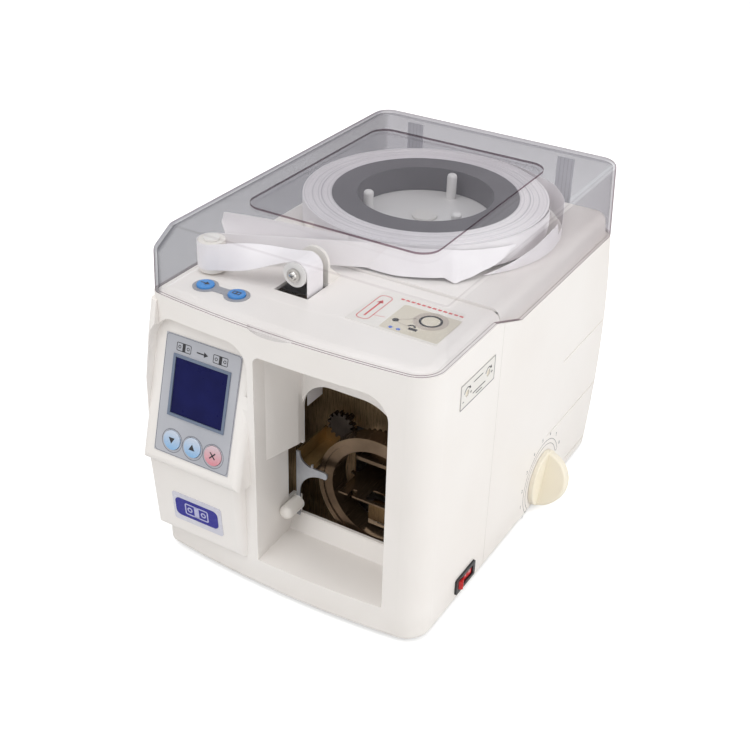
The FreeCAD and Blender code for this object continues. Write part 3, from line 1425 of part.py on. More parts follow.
def tape_strip():
    """The loose tape: off the roll, round the guide roller, twisted over the turning roller and
    down through the slot to the feed rollers."""
    thick, away = number(s.tape_thickness), number(s.touch_gap)
    width, low = number(s.tape_width), number(tape_low)
    up = Vector(0, 0, 1)
    guide = Vector(-number(s.post_roller_x), number(s.post_roller_y), low)
    roll = Vector(-number(s.roll_x), number(s.roll_y), low)
    near, far = number(s.post_roller_radius) + away, number(s.roll_radius) + away
    # the line that touches the front of the roll and the back of the guide roller
    gap = roll - guide
    angle = math.atan2(gap.y, gap.x) + math.acos((near + far + thick) / gap.Length)
    normal = Vector(math.cos(angle), math.sin(angle), 0)
    corners = [roll - normal * far, guide + normal * (near + thick), guide + normal * near,
               roll - normal * (far + thick)]
    run = Part.Face(Part.makePolygon(corners + corners[:1])).extrude(up * width)
    # the line from the guide roller to the turning roller
    over = Vector(-number(s.turn_x), number(tape_front) + width / 2,
                  number(s.turn_z) + number(s.turn_radius) + away + thick / 2)
    heading = math.atan2(over.y - guide.y + near, over.x - guide.x)
    leave = heading - math.pi / 2 + 2 * math.pi
    wrap = Part.makeCylinder(near + thick, width, guide, up, 360).cut(
        Part.makeCylinder(near, width, guide, up, 360))
    wedge_size = near * 3
    spots = [guide] + [guide + Vector(math.cos(a), math.sin(a), 0) * wedge_size
                       for a in [angle + (leave - angle) * n / 4 for n in range(5)]]
    wedge = Part.Face(Part.makePolygon(spots + spots[:1])).extrude(up * width)
    wrap = wrap.common(wedge)
    outward = Vector(math.cos(leave), math.sin(leave), 0)
    start = guide + outward * (near + thick / 2) + up * (width / 2)
    sections = []
    steps = 8
    for n in range(steps + 1):
        share = n / steps
        turn = math.radians(90) * (3 * share ** 2 - 2 * share ** 3)
        aside = outward * (1 - share) + Vector(0, -1, 0) * share
        aside.normalize()
        across = up * math.cos(turn) - aside * math.sin(turn)
        through = aside * math.cos(turn) + up * math.sin(turn)
        sections.append(sheet_section(start + (over - start) * share, across, through, width))
    twist = Part.makeLoft(sections, True, True)
    axis = Vector(over.x, number(tape_front), number(s.turn_z))
    bend_radius = number(s.turn_radius) + away
    quarter = Part.makeCylinder(bend_radius + thick, width, axis, Vector(0, 1, 0), 360).cut(
        Part.makeCylinder(bend_radius, width, axis, Vector(0, 1, 0), 360))
    quarter = quarter.common(Part.makeBox(bend_radius * 2, width, bend_radius * 2, axis))
    end = number(s.tape_end)
    drop = Part.makeBox(thick, width, axis.z - end, Vector(axis.x + bend_radius, axis.y, end))
    whole = run.fuse([wrap, twist, quarter, drop])
    finish("tape_strip", shaped("tape_strip", whole))


# ---------------------------------------------------------------- gears
def involute(radius, base):
    turn = math.sqrt(max((radius / base) ** 2 - 1.0, 0.0))
    return turn - math.atan(turn)


def gear(name, teeth, centre, low, high, first):
    """A spur gear with its axis along Y; first is the angle of one tooth, from +X to +Z."""
    module = number(s.gear_module)
    pitch = module * teeth / 2
    base = pitch * math.cos(math.radians(20))
    outer, root_radius = pitch + module * ADDENDUM, pitch - module * DEDENDUM
    half = math.pi / (2 * teeth) - number(s.tooth_clearance) / (2 * pitch) + involute(pitch, base)
    flank = [root_radius] + [max(base, root_radius) + (outer - max(base, root_radius)) * n / 4
                             for n in range(5)]
    x, z, y = number(centre[0]), number(centre[1]), number(low)
    spots = []
    for tooth in range(teeth):
        middle_angle = math.radians(first + 360.0 * tooth / teeth)
        one_side = [(radius, middle_angle - half + involute(radius, base)) for radius in flank]
        other = [(radius, 2 * middle_angle - angle) for radius, angle in reversed(one_side)]
        for radius, angle in one_side + other:
            spot = Vector(x + radius * math.cos(angle), y, z + radius * math.sin(angle))
            if not spots or (spot - spots[-1]).Length > 1e-4:
                spots.append(spot)
    face = Part.Face(Part.makePolygon(spots + spots[:1]))
    return shaped(name, face.extrude(Vector(0, number(high) - y, 0)))


def pitch_radius(teeth):
    return s.gear_module * teeth / 2


# ---------------------------------------------------------------- frame
frame_rear_face = s.frame_back + s.frame_plate
ring_centre = (s.ring_x, s.ring_z)
gear_front = s.frame_front + s.frame_plate + s.ring_depth + s.track_gap * 2
gear_back = gear_front + s.gear_width
ring_reach = pitch_radius(GEAR_TEETH["ring"]) + pitch_radius(GEAR_TEETH["ring_pinion"])
ring_motor = (s.ring_x - ring_reach * cosine(45.0), s.ring_z + ring_reach * sine(45.0))
feed_reach = pitch_radius(GEAR_TEETH["feed"]) + pitch_radius(GEAR_TEETH["feed_pinion"])
motor_drop = s.rear_deck - s.casing_wall - s.motor_radius - s.motor_headroom - s.feed_height
motor_slant = root(s.motor_aside * s.motor_aside + motor_drop * motor_drop)
feed_motor = (feed_x + feed_reach * s.motor_aside / motor_slant,
              s.feed_height + feed_reach * motor_drop / motor_slant)
feed_lean = math.degrees(math.atan2(number(motor_drop), number(s.motor_aside)))
rack_line = s.ring_x + s.rack_width - s.gear_module
press_rest = s.table_height + s.bundle_least + s.press_travel
press_motor = (rack_line + pitch_radius(GEAR_TEETH["press_pinion"]), s.pinion_height)
rack_front = frame_rear_face + s.rack_clear
rack_back = rack_front + s.rack_width
bracket_front = rack_back + s.rack_clear / 3
bracket_back = bracket_front + s.frame_plate * 4 / 3


def rod_places():
    side = s.rear_half_width - s.rod_radius * 2
    return [(x, z) for x in (-side, side) for z in (s.frame_low_rod, s.frame_top - s.rod_radius * 2)]


def frame_plate(label, y, half, window, holes):
    """An upright steel plate with two bent feet, a window and its shaft holes."""
    back = y + s.frame_plate
    plate = box(label + "_plate", (-half, half), (y, back), (base_top, s.frame_top))
    feet = []
    for n, side in enumerate((-1.0, 1.0)):
        middle_x = side * (s.rear_half_width - s.foot_inset)
        low_x, high_x = middle_x - s.foot_inset / 2, middle_x + s.foot_inset / 2
        feet.append(box(f"{label}_foot_{n}", (low_x, high_x), (y, back + s.frame_foot),
                        (base_top, base_top + s.frame_plate)))
    tools = [box(label + "_window", window[0], (y - 1.0, back + 1.0), window[1])]
    tools += [rod(f"{label}_hole_{n}", "y", place, radius + s.running_gap, y - 1.0, back + 1.0)
              for n, (place, radius) in enumerate(holes)]
    tools += [rod(f"{label}_screw_hole_{n}", "z", place, s.screw_radius + s.running_gap,
                  base_top - 1.0, base_top + s.frame_plate + 1.0)
              for n, place in enumerate(frame_screw_places())]
    finish(label, cut(label, fuse(label + "_solid", [plate] + feet), tools))


def frames():
    front_holes = [((feed_x, s.feed_height), s.shaft_radius), ((pinch_x, s.feed_height), s.shaft_radius)]
    rear_holes = [((feed_x, s.feed_height), s.shaft_radius), (ring_motor, s.shaft_radius),
                  (feed_motor, s.shaft_radius)]
    window = ((-s.mouth_left - 1.0, s.mouth_right + 4.0), (s.window_bottom - 6.0, s.window_top + 5.0))
    frame_plate("front_frame", s.frame_front, s.frame_half_width, window, front_holes)
    frame_plate("rear_frame", s.frame_back, s.rear_half_width,
                ((s.table_left - 3.0, s.table_right + 3.0), (s.rear_window_bottom, s.rear_window_top)),
                rear_holes)
    rods = [rod(f"tie_rod_{n}", "y", place, s.rod_radius, s.frame_front + s.frame_plate, s.frame_back)
            for n, place in enumerate(rod_places())]
    finish("tie_rods", group("tie_rods", rods))


def motor(name, centre, front):
    body = rod(name, "y", centre, s.motor_radius, front, front + s.motor_length)
    body = rounded(name + "_round", body, s.motor_radius / 10, lambda edge: edge.BoundBox.XLength > 20)
    bore = rod(name + "_bore", "y", centre, s.shaft_radius + s.running_gap, front - 1.0,
               front + s.motor_length / 3)
    return cut(name + "_bored", body, [bore])


def motors():
    finish("gear_motors", group("gear_motors", [
        motor("ring_motor", ring_motor, frame_rear_face), motor("feed_motor", feed_motor, frame_rear_face),
        motor("press_motor", press_motor, bracket_back)]))


# ---------------------------------------------------------------- tape ring
def tape_ring():
    low = s.frame_front + s.frame_plate
    finish("ring_track", ring_of("ring_track", ring_centre, s.ring_outer + s.ring_gap + s.track_wall,
                                 s.ring_outer + s.ring_gap, low, low + s.ring_depth + s.track_gap, "y"))
    front = low + s.track_gap
    disc = rod("rotor_disc", "y", ring_centre, s.ring_outer, front, gear_back)
    teeth = gear("rotor_teeth", GEAR_TEETH["ring"], ring_centre, gear_front, gear_back, 135.0)
    clip = box("tape_clip", (s.ring_x - s.clip_half, s.ring_x + s.clip_half),
               (front, gear_back + s.track_gap * 3),
               (s.ring_z + s.ring_inner + s.clip_half / 2, s.ring_z + s.ring_outer - s.clip_half / 2))
    bore = rod("rotor_bore", "y", ring_centre, s.ring_inner, low - 1.0, gear_back + PAST)
    notch = box("tape_clip_notch", (s.ring_x - s.clip_half - 1.0, s.ring_x + s.clip_half + 1.0),
                (gear_back + s.track_gap, gear_back + s.track_gap * 2),
                (s.ring_z, s.ring_z + s.ring_inner + s.clip_half))
    finish("ring_rotor", cut("ring_rotor", fuse("rotor_solid", [disc, teeth, clip]), [bore, notch]))
    pinion = gear("ring_pinion_teeth", GEAR_TEETH["ring_pinion"], ring_motor, gear_front, gear_back,
                  -45.0 + 180.0 / GEAR_TEETH["ring_pinion"])
    shaft = rod("ring_pinion_shaft", "y", ring_motor, s.shaft_radius, gear_front,
                frame_rear_face + s.motor_length / 4)
    finish("ring_pinion", fuse("ring_pinion", [pinion, shaft]))


# ---------------------------------------------------------------- tape feed
def tape_feed():
    low = tape_front - s.side_gap
    high = low + s.tape_width + s.side_gap * 2
    feed, pinch = (feed_x, s.feed_height), (pinch_x, s.feed_height)
    wheel_low = s.frame_back - s.gear_width - s.side_gap * 10
    teeth = gear("feed_teeth", GEAR_TEETH["feed"], feed, wheel_low, wheel_low + s.gear_width, feed_lean)
    finish("feed_roller", fuse("feed_roller", [
        rod("feed_drum", "y", feed, s.feed_radius, low, high), teeth,
        rod("feed_shaft", "y", feed, s.shaft_radius, s.frame_front, frame_rear_face)]))
    pinion = gear("feed_pinion_teeth", GEAR_TEETH["feed_pinion"], feed_motor, wheel_low,
                  wheel_low + s.gear_width, feed_lean - 180.0 + 180.0 / GEAR_TEETH["feed_pinion"])
    finish("feed_pinion", fuse("feed_pinion", [
        pinion, rod("feed_pinion_shaft", "y", feed_motor, s.shaft_radius, wheel_low,
                    frame_rear_face + s.motor_length / 4)]))
    finish("pinch_roller", fuse("pinch_roller", [
        rod("pinch_drum", "y", pinch, s.pinch_radius, low, high),
        rod("pinch_shaft", "y", pinch, s.shaft_radius, s.frame_front, high + s.side_gap)]))


# ---------------------------------------------------------------- note table and guide
def note_path():
    top, low = s.table_height, s.table_height - s.sheet
    sheet_top = box("table_sheet", (s.table_left, s.table_right), (s.table_front, s.table_back),
                    (low, top))
    wings = box("table_wings", (s.table_left - 5.0, s.table_right + 5.0),
                (s.frame_back - s.sheet * 2, s.frame_back), (low, top))
    leg = box("table_leg", (s.table_left, s.table_right), (s.table_back - s.sheet, s.table_back),
              (base_top, top))
    slots = [box("table_slot", (head_x[0] - 2.0, s.blade_x + s.blade_thickness + 2.0),
                 (head_y[0] - 2.0, head_y[1] + 2.0), (low - 1.0, top + 1.0))]
    for n, x in enumerate((s.table_left + s.table_notch * 2, s.table_right - s.table_notch * 3)):
        slots.append(box(f"table_notch_{n}", (x, x + s.table_notch),
                         (s.table_front - 1.0, s.table_front + s.table_notch * 2), (low - 1.0, top + 1.0)))
    finish("note_table", cut("note_table", fuse("table_solid", [sheet_top, wings, leg]), slots))


guide_x = s.peg_radius + s.touch_gap - s.mouth_left
guide_front = s.mouth_depth - 4.0


def note_guide():
    """A front plate with a swept branch, and the trough behind it that ends at the rear frame."""
    left, right = guide_x - s.sheet, guide_x + s.sheet
    tip, high = guide_x + s.guide_branch, s.guide_height + s.guide_rise
    branch_low = s.guide_height - s.sheet * 3
    plate = prism("guide_plate", "XZ", [
        (left, s.guide_low), (right, s.guide_low), (right, branch_low), (tip, branch_low),
        (tip, s.guide_height + s.sheet), (right, s.guide_height + s.sheet), (right, high), (left, high)],
        guide_front, guide_front + s.sheet)

    def inner_corner(height):
        return lambda edge: (along("y")(edge) and abs(middle(edge).x - number(right)) < 0.1
                             and abs(middle(edge).z - number(height)) < 0.1)

    soften(plate, s.guide_hollow, inner_corner(s.guide_height + s.sheet))
    soften(plate, s.guide_sweep, inner_corner(branch_low))
    soften(plate, s.sheet * 1.5, lambda edge: along("y")(edge) and middle(edge).x > number(tip) - 0.1)
    ring_side = s.ring_outer + s.ring_gap + s.track_wall
    rise = s.guide_height - s.ring_z
    edge_x = s.ring_x - s.track_gap - root(ring_side * ring_side - rise * rise)
    back = s.frame_back
    trough = [
        box("guide_web", (left, left + s.sheet), (guide_front, back), (s.guide_height, high)),
        box("guide_floor", (left, edge_x), (guide_front, back),
            (s.guide_height, s.guide_height + s.sheet)),
        box("guide_lip", (edge_x - s.sheet, edge_x), (guide_front, back),
            (s.guide_height, s.guide_height + s.sheet * 3)),
        box("guide_tab", (left, edge_x), (back - s.sheet, back), (s.guide_height, high)),
    ]
    finish("note_guide", fuse("note_guide", [plate] + trough))
    peg = rod("note_stop_peg", "y", (guide_x, s.peg_height), s.peg_radius, guide_front - s.peg_length,
              guide_front)
    finish("note_stop_peg", rounded("note_stop_peg_round", peg, s.peg_radius * 0.85,
                                    lambda edge: edge.BoundBox.YMax < number(guide_front) - 1))


# ---------------------------------------------------------------- press
def press():
    middle_x, half = s.ring_x, s.press_half_width
    plate = box("press_pad", (middle_x - half, middle_x + half),
                (s.frame_front + s.frame_plate * 3, s.frame_back - s.press_sheet),
                (press_rest, press_rest + s.press_sheet))
    plate = rounded("press_pad_round", plate, s.press_sheet * 2, along("z"))
    arm = box("press_arm", (middle_x - s.rack_width / 2, middle_x + s.rack_width / 2),
              (s.frame_back - s.press_sheet * 2, rack_back),
              (press_rest, press_rest + s.press_sheet))
    module = number(s.gear_module)
    pitch = math.pi * module
    line, low_z, high_z = number(rack_line), number(press_rest), number(s.rack_top)
    back_x = number(rack_line - s.rack_width + s.gear_module)
    root_x, tip_x = line - module * DEDENDUM, line + module * ADDENDUM
    lean = math.tan(math.radians(20))
    half_tooth = pitch / 4 - number(s.tooth_clearance) / 2
    count = int((number(s.pinion_height) - low_z) / pitch) - 1
    spots = [(back_x, low_z), (root_x, low_z)]
    tooth_z = number(s.pinion_height) - pitch * count
    while tooth_z + pitch / 2 < high_z:
        spots += [(root_x, tooth_z - half_tooth - module * DEDENDUM * lean),
                  (tip_x, tooth_z - half_tooth + module * ADDENDUM * lean),
                  (tip_x, tooth_z + half_tooth - module * ADDENDUM * lean),
                  (root_x, tooth_z + half_tooth + module * DEDENDUM * lean)]
        tooth_z += pitch
    spots += [(root_x, high_z), (back_x, high_z)]
    front = number(rack_front)
    outline = [Vector(x, front, z) for x, z in spots]
    face = Part.Face(Part.makePolygon(outline + outline[:1]))
    rack = shaped("press_rack", face.extrude(Vector(0, number(rack_back) - front, 0)))
    finish("press_plate", fuse("press_plate", [plate, arm, rack]))

    teeth = gear("press_pinion_teeth", GEAR_TEETH["press_pinion"], press_motor, rack_front, rack_back,
                 180.0 + 180.0 / GEAR_TEETH["press_pinion"])
    finish("press_pinion", fuse("press_pinion", [
        teeth, rod("press_pinion_shaft", "y", press_motor, s.shaft_radius, rack_front,
                   bracket_back + s.motor_length / 4)]))

    left, right = middle_x - s.motor_radius, press_motor[0] + s.motor_radius
    low, high = s.pinion_height - s.motor_radius - 4.0, s.pinion_height + s.motor_radius + 4.0
    sheet_metal = s.frame_plate * 4 / 3
    rack_left = rack_line - s.rack_width + s.gear_module
    pieces = [
        box("bracket_wall", (left, right + sheet_metal), (bracket_front, bracket_back), (low, high)),
        box("bracket_left", (left, left + sheet_metal), (frame_rear_face, bracket_back), (low, high)),
        box("bracket_right", (right, right + sheet_metal), (frame_rear_face, bracket_back), (low, high)),
        box("rack_guide", (left, rack_left - s.side_gap), (rack_front, bracket_back),
            (s.pinion_height - s.rack_width, s.pinion_height + s.rack_width)),
    ]
    bore = rod("bracket_bore", "y", press_motor, s.shaft_radius + s.running_gap, rack_back, PAST * 3)
    finish("press_bracket", cut("press_bracket", fuse("bracket_body", pieces), [bore]))


# ---------------------------------------------------------------- sealing head
head_x = (s.ring_x - s.head_half_width, s.ring_x + s.head_half_width)
head_y = (tape_front + s.tape_width / 2 - 4.0, tape_front + s.tape_width / 2 + 4.0)
arm_top = s.head_top - s.head_tall
arm_low = arm_top - s.arm_thickness
solenoid_y = frame_rear_face + s.solenoid_size / 2 + 3.0


def sealing_head():
    block = box("heater_block", head_x, head_y, (arm_top, s.head_top))
    finish("heater_head", rounded("heater_head", block, s.label_corner, along("y")))
    finish("cutter_blade", prism("cutter_blade", "XZ", [
        (s.blade_x, arm_top), (s.blade_x + s.blade_thickness, arm_top),
        (s.blade_x + s.blade_thickness, s.head_top + 1.0), (s.blade_x, s.head_top + 3.0)],
        head_y[0], head_y[1]))
    cross = box("arm_cross", (head_x[0], s.blade_x + s.blade_thickness), head_y, (arm_low, arm_top))
    bar = box("arm_bar", (s.ring_x - 4.0, s.ring_x + 4.0), (head_y[0], solenoid_y + 6.0),
              (arm_low, arm_top))
    plunger = rod("plunger", "z", (s.ring_x, solenoid_y), s.plunger_radius,
                  base_top + s.head_lift + s.sheet, arm_low)
    finish("sealer_arm", fuse("sealer_arm", [cross, bar, plunger]))
    half = s.solenoid_size / 2
    can = box("solenoid_can", (s.ring_x - half, s.ring_x + half), (solenoid_y - half, solenoid_y + half),
              (base_top, arm_low - s.head_lift - s.sheet * 2))
    bore = rod("solenoid_bore", "z", (s.ring_x, solenoid_y), s.plunger_radius + s.running_gap,
               base_top + s.sheet, PAST * 2)
    finish("solenoid", cut("solenoid", can, [bore]))


# ---------------------------------------------------------------- electrics
def electrics():
    size = s.transformer_size
    left, front = -s.inlet_x - size / 2, s.casing_back - size - s.foot_inset * 1.5
    core = box("transformer_core", (left, left + size), (front + size * 0.25, front + size * 0.65),
               (base_top, base_top + size * 0.8))
    coil = box("transformer_coil", (left + size * 0.2, left + size * 0.8), (front, front + size * 0.9),
               (base_top + size * 0.15, base_top + size * 0.65))
    coil = rounded("transformer_coil_round", coil, size / 12, along("y"))
    finish("transformer", fuse("transformer", [core, coil]))

    face = inlet_face
    flange = box("inlet_flange", (-s.inlet_x - s.inlet_width / 2, s.inlet_width / 2 - s.inlet_x),
                 (face, face + s.casing_wall),
                 (s.inlet_z - s.inlet_height / 2, s.inlet_z + s.inlet_height / 2))
    flange = rounded("inlet_flange_round", flange, s.inlet_height / 8, along("y"))
    body = box("inlet_body", (-s.inlet_x - inlet_body[0], inlet_body[0] - s.inlet_x),
               (face - s.inlet_depth, face), (s.inlet_z - inlet_body[1], s.inlet_z + inlet_body[1]))
    socket_x, socket_z = inlet_body[0] - s.casing_wall, inlet_body[1] - s.casing_wall * 0.8
    socket = box("inlet_socket", (-s.inlet_x - socket_x, socket_x - s.inlet_x),
                 (face + s.casing_wall - s.socket_depth, face + PAST),
                 (s.inlet_z - socket_z, s.inlet_z + socket_z))
    pins = [box(f"inlet_pin_{n}", (x - s.inlet_x - 1.0, x - s.inlet_x + 1.0),
                (face - s.socket_depth, face - 2.0), (s.inlet_z + z - 2.0, s.inlet_z + z + 2.0))
            for n, (x, z) in enumerate(((-7.0, -1.5), (0.0, 2.0), (7.0, -1.5)))]
    shell = cut("inlet_shell", fuse("inlet_solid", [flange, body]), [socket])
    finish("power_inlet", fuse("power_inlet", [shell] + pins))


for make in (front_housing, rear_housing, hinge_pins, lid, base, display, badge, buttons, labels,
             circuit_boards, trimmers, power_switch, dial, reel, tape_rollers, turn_bracket, tape_strip,
             frames, motors, tape_ring, tape_feed, note_path, note_guide, press, sealing_head, electrics):
    make()


# ---------------------------------------------------------------- check and write
doc.recompute()
for thing in doc.Objects:
    if "Invalid" in thing.State or "Error" in thing.State:
        raise RuntimeError(f"{thing.Name} failed: {thing.State}")
for label, thing in finished.items():
    if thing.Shape.isNull() or not thing.Shape.isValid():
        raise RuntimeError(f"{label} has no valid shape")

os.makedirs("parts", exist_ok=True)
for label, thing in finished.items():
    thing.Shape.exportStep(f"parts/{label}.step")
    solids = len(thing.Shape.Solids)
    print(f"{label}: {solids} solids, {thing.Shape.Volume / 1000:.1f} cm3")
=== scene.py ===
"""Looks of a banknote strapping machine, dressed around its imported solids.

Metres throughout; sizes written in millimetres are named values times MM.  X runs along the
front, +Y to the back and +Z up, with the machine's middle above the origin.
"""

import math
import random

import bmesh
import bpy
from mathutils import Matrix, Vector


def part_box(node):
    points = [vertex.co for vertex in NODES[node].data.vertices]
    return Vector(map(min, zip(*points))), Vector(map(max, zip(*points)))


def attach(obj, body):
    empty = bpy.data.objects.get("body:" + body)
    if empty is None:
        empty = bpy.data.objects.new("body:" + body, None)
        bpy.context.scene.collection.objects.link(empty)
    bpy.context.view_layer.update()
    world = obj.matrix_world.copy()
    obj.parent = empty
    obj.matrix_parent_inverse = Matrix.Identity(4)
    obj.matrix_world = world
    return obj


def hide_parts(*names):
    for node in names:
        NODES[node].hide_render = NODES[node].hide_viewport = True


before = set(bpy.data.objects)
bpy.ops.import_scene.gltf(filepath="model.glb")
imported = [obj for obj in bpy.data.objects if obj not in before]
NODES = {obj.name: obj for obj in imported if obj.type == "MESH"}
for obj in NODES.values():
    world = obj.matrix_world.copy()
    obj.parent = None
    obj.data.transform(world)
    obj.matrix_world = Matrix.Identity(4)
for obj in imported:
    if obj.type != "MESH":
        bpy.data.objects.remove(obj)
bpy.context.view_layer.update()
MM = 0.001

FRONT = Vector((0, -1, 0))
RIGHT = Vector((1, 0, 0))
UP = Vector((0, 0, 1))
BACK = Vector((0, 1, 0))
DISPLAY_LEAN = math.radians(15)
DISPLAY_OUT = Vector((0, -math.cos(DISPLAY_LEAN), math.sin(DISPLAY_LEAN)))

INK = 0.08 * MM  # thickness of most printed marks
THIN_INK = 0.05 * MM  # of the threading field and the rocker's marks
TAPE = 0.15 * MM  # thickness of the loose tape
RAMP_Y = (-62.1 * MM, -20.1 * MM)  # between these places on Y the lid's foot slopes
RAMP_Z = (228.5 * MM, 212.5 * MM)  # from the first of these heights to the second
ALIGNED = 0.9  # a face looks along a direction when their dot product is above this

SOFT = (0.3, 0.7)  # the span of noise values over which a soft pattern changes
CRISP = (0.35, 0.65)  # the same for a pattern with clearer edges


def centre(node):
    """The middle of a node's box."""
    low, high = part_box(node)
    return (low + high) / 2


def axes_at(side, top, normal, middle):
    """The matrix that has these three axes and this origin."""
    place = Matrix((side, top, normal)).transposed().to_4x4()
    place.translation = middle
    return place


def new_object(name, data):
    """An object with this data, in the scene."""
    thing = bpy.data.objects.new(name, data)
    bpy.context.scene.collection.objects.link(thing)
    return thing


# -------- materials
def colour(red, green, blue):
    """A colour given by its 0-255 values, as the shader takes it."""
    def linear(value):
        value /= 255
        return value / 12.92 if value <= 0.04045 else ((value + 0.055) / 1.055) ** 2.4
    return (linear(red), linear(green), linear(blue), 1.0)


class Finish:
    """A material whose patterns read Object coordinates, so they stay with the piece."""

    def __init__(self, name, base, roughness, metallic=0.0, coat=0.0):
        self.material = bpy.data.materials.new(name)
        self.material.use_nodes = True
        self.tree = self.material.node_tree
        self.shader = self.tree.nodes["Principled BSDF"]
        self.shader.inputs["Base Color"].default_value = base
        self.shader.inputs["Roughness"].default_value = roughness
        self.shader.inputs["Metallic"].default_value = metallic
        self.shader.inputs["Coat Weight"].default_value = coat
        self.shader.inputs["Coat Roughness"].default_value = 0.06
        here = self.add("ShaderNodeTexCoord").outputs
        self.place, self.normal = here["Object"], here["Normal"]

    def add(self, kind, **settings):
        node = self.tree.nodes.new(kind)
        for key, value in settings.items():
            setattr(node, key, value)
        return node

    def join(self, source, target):
        self.tree.links.new(source, target)

    def feed(self, socket, value):
        """Joins a socket to another node's output, or sets it."""
        if isinstance(value, bpy.types.NodeSocket):
            self.join(value, socket)
        else:
            socket.default_value = value

    def math(self, operation, first, second=0.0, clamp=False):
        node = self.add("ShaderNodeMath", operation=operation, use_clamp=clamp)
        self.feed(node.inputs[0], first)
        self.feed(node.inputs[1], second)
        return node.outputs[0]

    def vector(self, operation, first, second=(0, 0, 0)):
        node = self.add("ShaderNodeVectorMath", operation=operation)
        self.feed(node.inputs[0], first)
        self.feed(node.inputs[1], second)
        return node.outputs["Value" if operation in ("LENGTH", "DOT_PRODUCT") else "Vector"]

    def axis(self, letter):
        return self.part(self.place, letter)

    def part(self, vector, letter):
        node = self.add("ShaderNodeSeparateXYZ")
        self.join(vector, node.inputs[0])
        return node.outputs[letter]

    def noise(self, scale, detail, stretch=(1, 1, 1), rough=0.5, place=None):
        """Noise with this many features a metre, squeezed along each axis by stretch."""
        node = self.add("ShaderNodeTexNoise")
        self.join(self.vector("MULTIPLY", place or self.place, stretch), node.inputs["Vector"])
        node.inputs["Scale"].default_value = scale
        node.inputs["Detail"].default_value = detail
        node.inputs["Roughness"].default_value = rough
        return node.outputs["Fac"]

    def spread(self, value, low, high, start=0.0, end=1.0):
        """Maps low..high to start..end, held at both ends."""
        node = self.add("ShaderNodeMapRange")
        self.feed(node.inputs["Value"], value)
        names = ("From Min", "From Max", "To Min", "To Max")
        for name, number in zip(names, (low, high, start, end)):
            node.inputs[name].default_value = number
        return node.outputs["Result"]

    def mix(self, amount, first, second):
        node = self.add("ShaderNodeMix", data_type="RGBA")
        for socket, value in zip((0, 6, 7), (amount, first, second)):
            self.feed(node.inputs[socket], value)
        return node.outputs[2]

    def blend(self, amount, first, second):
        """Mixes two shaders."""
        node = self.add("ShaderNodeMixShader")
        for socket, value in zip(node.inputs, (amount, first, second)):
            self.feed(socket, value)
        return node.outputs[0]

    def patches(self, scale, detail, first, second, span=SOFT):
        """Cloudy patches of two colours."""
        return self.mix(self.spread(self.noise(scale, detail), *span), first, second)

    def from_axis(self, middle):
        """Distance from the upright axis through a point."""
        offset = self.vector("SUBTRACT", self.place, tuple(middle))
        return self.vector("LENGTH", self.vector("MULTIPLY", offset, (1, 1, 0)))

    def near(self, middle, reach):
        """1 within this distance of an upright axis, 0 beyond it."""
        return self.spread(self.from_axis(middle), reach, reach + 0.5 * MM, 1.0, 0.0)

    def paint(self, tint):
        self.feed(self.shader.inputs["Base Color"], tint)

    def polish(self, value, low, high):
        """Roughness that runs from low to high with a pattern."""
        self.join(self.spread(value, *SOFT, low, high), self.shader.inputs["Roughness"])

    def relief(self, value, height, strength):
        """Bump of this height, laid over any bump the finish already has."""
        node = self.add("ShaderNodeBump")
        node.inputs["Strength"].default_value = strength
        node.inputs["Distance"].default_value = height
        self.join(value, node.inputs["Height"])
        earlier = self.shader.inputs["Normal"].links
        if earlier:
            self.join(earlier[0].from_socket, node.inputs["Normal"])
        self.join(node.outputs["Normal"], self.shader.inputs["Normal"])


def moulded(name, light, dark, roughness, grain=0.02 * MM):
    """Moulded plastic: slow changes of tone, uneven gloss and a fine skin."""
    finish = Finish(name, colour(*light), roughness)
    finish.paint(finish.patches(9, 3, colour(*light), colour(*dark), CRISP))
    finish.polish(finish.noise(30, 2), roughness * 0.92, roughness * 1.12)
    finish.relief(finish.noise(1800, 2), grain, 0.5)
    finish.relief(finish.noise(14, 1), 0.2 * MM, 0.05)
    return finish.material


def ivory_shell():
    """Glossy ivory casing, a little greyer in patches towards the bottom."""
    finish = Finish("ivory_plastic", colour(238, 234, 230), 0.3)
    clean = finish.patches(7, 3, colour(241, 237, 233), colour(237, 232, 227), CRISP)
    # greyer in noisy patches, strongest at the bottom and gone 30 mm up
    low_down = finish.spread(finish.axis("Z"), 0.0, 30 * MM, 0.35, 0.0)
    greyer_patches = finish.math("MULTIPLY", low_down, finish.noise(45, 4))
    finish.paint(finish.mix(greyer_patches, clean, colour(196, 188, 176)))
    finish.polish(finish.noise(16, 2), 0.3, 0.37)
    finish.relief(finish.noise(2600, 2), 0.01 * MM, 0.35)
    finish.relief(finish.noise(6, 1), 0.4 * MM, 0.05)
    return finish.material


def brushed(name, light, dark, roughness, grain=(1, 1, 0.03), metallic=1.0, streaks=0.0):
    """Metal drawn or brushed along the axis where grain is small, with streaks of this height."""
    finish = Finish(name, colour(*light), roughness, metallic=metallic)
    lines = finish.noise(2600, 3, grain, 0.6)
    finish.paint(finish.patches(30, 3, colour(*light), colour(*dark)))
    finish.polish(lines, roughness * 0.75, roughness * 1.35)
    finish.relief(lines, 0.03 * MM, 0.35)
    if streaks:
        finish.relief(finish.noise(110, 2, grain), streaks, 0.6)
    return finish.material


def rubbery(name, base, worn):
    finish = Finish(name, base, 0.75)
    finish.paint(finish.patches(120, 4, base, worn, (0.4, 0.7)))
    finish.polish(finish.noise(300, 3), 0.62, 0.85)
    finish.relief(finish.noise(1500, 3), 0.08 * MM, 0.6)
    return finish.material


